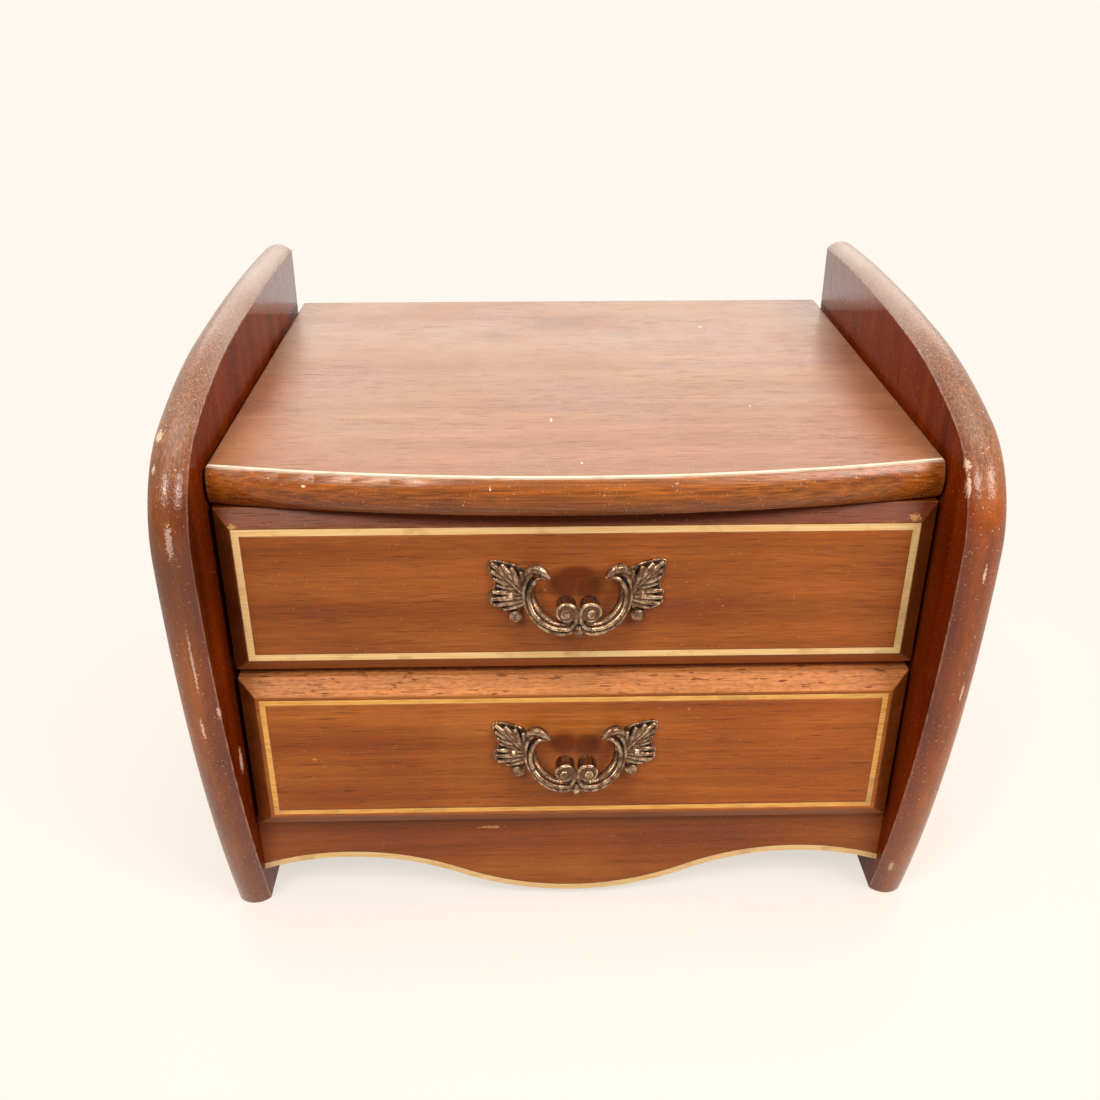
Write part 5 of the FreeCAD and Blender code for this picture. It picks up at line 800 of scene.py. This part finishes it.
def castPull():
    look = pullLook
    parts = [leafPlate(look["leafOutline"], look["leafThick"])]
    runs = look["upperFingers"] + look["lowerFingers"] + look["armRidges"] + [
        look["curl"], look["armCore"], look["voluteLine"], look["tail"], look["stem"]]
    parts += [castRod(points) for points in runs]
    parts += [castDisc(look[disc]) for disc in ("volute", "voluteEye", "nailSeat")]
    berry = look["berry"]
    bpy.ops.mesh.primitive_uv_sphere_add(
        segments=look["ballSides"], ring_count=look["ballRings"], radius=berry["radius"] * mm,
        scale=(1, berry["thick"] / 2 / berry["radius"], 1),
        location=Vector((berry["middle"][0], -berry["thick"] / 2, berry["middle"][1])) * mm)
    parts.append(bpy.context.object)
    pull = joined("upper_pull_casting", parts)
    withModifier(pull, "MIRROR", use_mirror_merge=False)
    withModifier(pull, "REMESH", mode="VOXEL", voxel_size=look["fuse"] * mm, use_smooth_shade=True)
    withModifier(pull, "SMOOTH", factor=0.5, iterations=1)
    withModifier(pull, "DECIMATE", ratio=look["kept"])
    return pull


def hangPulls():
    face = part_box("upper_drawer_front")[0].y
    upper = castPull()
    onlySelected(upper)
    bpy.ops.object.duplicate()
    lower = bpy.context.object
    for pull, place in ((upper, "upper"), (lower, "lower")):
        drawer = place + "_drawer"
        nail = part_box(drawer + "_pull_nails")
        pull.data.transform(Matrix.Translation((0, face, (nail[0].z + nail[1].z) / 2)))
        dressed(pull, place + "_pull_casting", antiqueBrass, drawer + "_pull", drawer)


hangPulls()
print("pulls cast")


# velvet linings: cut sheets laid on the drawers' bottoms and the tray's floor

sheetLook = {"cell": 5, "thick": 1.1, "wave": 0.12, "waveLength": 34, "edge": 0.4, "gap": 0.3}  # mm


def laidVelvet(name, low, high, node, body):
    look = sheetLook
    width, depth = high.x - low.x, high.y - low.y
    bpy.ops.mesh.primitive_grid_add(
        x_subdivisions=int(width / mm / look["cell"]), y_subdivisions=int(depth / mm / look["cell"]), size=1,
        location=((low.x + high.x) / 2, (low.y + high.y) / 2, low.z + look["thick"] * mm))
    piece = bpy.context.object
    piece.scale = (width, depth, 1)
    bpy.ops.object.transform_apply(location=True, rotation=True, scale=True)
    for corner in piece.data.vertices:
        corner.co.z += look["wave"] * mm * (1 + noise.noise(corner.co / (look["waveLength"] * mm))) / 2
    thickened(piece, look)
    dressed(piece, name, wineVelvet, node, body)


def layLinings():
    for drawer in ("upper_drawer", "lower_drawer"):
        low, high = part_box(drawer + "_lining")
        laidVelvet(drawer + "_velvet", low, high, drawer + "_lining", drawer)
    low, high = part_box("tray_lining")
    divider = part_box("tray_divider_cross")
    gap = sheetLook["gap"] * mm
    laidVelvet("tray_front_velvet", low, Vector((high.x, divider[0].y - gap, high.z)), "tray_lining", "case")
    laidVelvet("tray_rear_velvet", Vector((low.x, divider[1].y + gap, low.z)), high, "tray_lining", "case")


layLinings()
print("linings laid")


# the ring cushion: eight foam rolls in velvet side by side, with a slit between each two

cushionLook = {
    "rolls": 8, "slit": 0.5, "shrink": 0.7, "voxel": 2.2, "cap": 0.8,  # mm, cap is how far a cover may swell
    "round": 0.94, "roundSteps": 7, "pressure": 4.0, "quality": 6, "steps": 20,
}


def foamRoll(low, high):  # a bar with a half-round top, pumped up like a filled cover
    look = cushionLook
    inset = look["shrink"] * mm
    size = high - low - Vector((2 * inset, 2 * inset, inset))
    bpy.ops.mesh.primitive_cube_add(size=1, location=(low + high - Vector((0, 0, inset))) / 2)
    roll = bpy.context.object
    roll.scale = size
    bpy.ops.object.transform_apply(location=True, rotation=True, scale=True)
    bpy.ops.object.mode_set(mode="EDIT")
    bpy.ops.mesh.select_all(action="DESELECT")
    bpy.ops.object.mode_set(mode="OBJECT")
    middle = sum(v.co.z for v in roll.data.vertices) / len(roll.data.vertices)
    for edge in roll.data.edges:
        edge.select = all(roll.data.vertices[i].co.z > middle for i in edge.vertices)
    bpy.ops.object.mode_set(mode="EDIT")
    bpy.ops.mesh.select_mode(type="EDGE")
    bpy.ops.mesh.bevel(offset=min(size.y / 2, size.z) * look["round"], segments=look["roundSteps"], profile=0.5)
    bpy.ops.object.mode_set(mode="OBJECT")
    withModifier(roll, "REMESH", mode="VOXEL", voxel_size=look["voxel"] * mm)
    pumped(roll)
    withModifier(roll, "SUBSURF", levels=1, render_levels=1)
    return roll


def pumped(roll):
    look = cushionLook
    start = [v.co.copy() for v in roll.data.vertices]
    onlySelected(roll)
    cloth = roll.modifiers.new("Cloth", "CLOTH")
    cloth.settings.use_pressure = True
    cloth.settings.uniform_pressure_force = look["pressure"]
    cloth.settings.effector_weights.gravity = 0
    cloth.settings.quality = look["quality"]
    for step in range(1, look["steps"] + 1):
        bpy.context.scene.frame_set(step)
    bpy.ops.object.modifier_apply(modifier=cloth.name)
    for corner, old in zip(roll.data.vertices, start):
        moved = corner.co - old
        if moved.length > look["cap"] * mm:
            corner.co = old + moved.normalized() * look["cap"] * mm
    bpy.context.scene.frame_set(1)


def ringCushion():
    look = cushionLook
    low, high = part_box("ring_cushion")
    pitch = (high.y - low.y) / look["rolls"]
    first = foamRoll(Vector((low.x, low.y, low.z)), Vector((high.x, low.y + pitch - look["slit"] * mm, high.z)))
    rolls = [first]
    for place in range(1, look["rolls"]):
        onlySelected(first)
        bpy.ops.object.duplicate()
        roll = bpy.context.object
        roll.data.transform(Matrix.Translation((0, pitch * place + look["slit"] / 2 * mm, 0)))
        rolls.append(roll)
    first.data.transform(Matrix.Translation((0, look["slit"] / 2 * mm, 0)))
    cushion = joined("ring_cushion_velvet", rolls)
    dressed(cushion, "ring_cushion_velvet", wineVelvet, "ring_cushion", "case")


ringCushion()
print("ring cushion filled")


# the lid's velvet: stretched over card round the mirror

lidVelvetLook = {"cuts": 9, "frame": 10, "thick": 1.2, "gap": 0.2, "edge": 0.5}  # mm


def lidVelvet():
    look = lidVelvetLook
    low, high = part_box("lid_lining")
    mirrorLow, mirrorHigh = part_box("lid_mirror")
    bpy.ops.mesh.primitive_plane_add(size=1, location=((low.x + high.x) / 2, (low.y + high.y) / 2, high.z))
    piece = bpy.context.object
    piece.scale = (high.x - low.x, high.y - low.y, 1)
    bpy.ops.object.transform_apply(location=True, rotation=True, scale=True)
    bpy.ops.object.mode_set(mode="EDIT")
    bpy.ops.mesh.select_all(action="SELECT")
    bpy.ops.mesh.inset(thickness=look["frame"] * mm)
    bpy.ops.mesh.delete(type="ONLY_FACE")
    bpy.ops.object.mode_set(mode="OBJECT")
    gap = look["gap"] * mm
    for corner in piece.data.vertices:  # the inner four corners go to the window's
        if abs(corner.co.x) < high.x - look["frame"] / 2 * mm:
            corner.co.x = math.copysign(mirrorHigh.x + gap, corner.co.x)
            corner.co.y = mirrorLow.y - gap if corner.co.y < (low.y + high.y) / 2 else mirrorHigh.y + gap
    bpy.ops.object.mode_set(mode="EDIT")
    bpy.ops.mesh.select_all(action="SELECT")
    bpy.ops.mesh.subdivide(number_cuts=look["cuts"])
    bpy.ops.object.mode_set(mode="OBJECT")
    thickened(piece, look)
    dressed(piece, "lid_velvet", wineVelvet, "lid_lining", "lid")


lidVelvet()
print("lid lined")
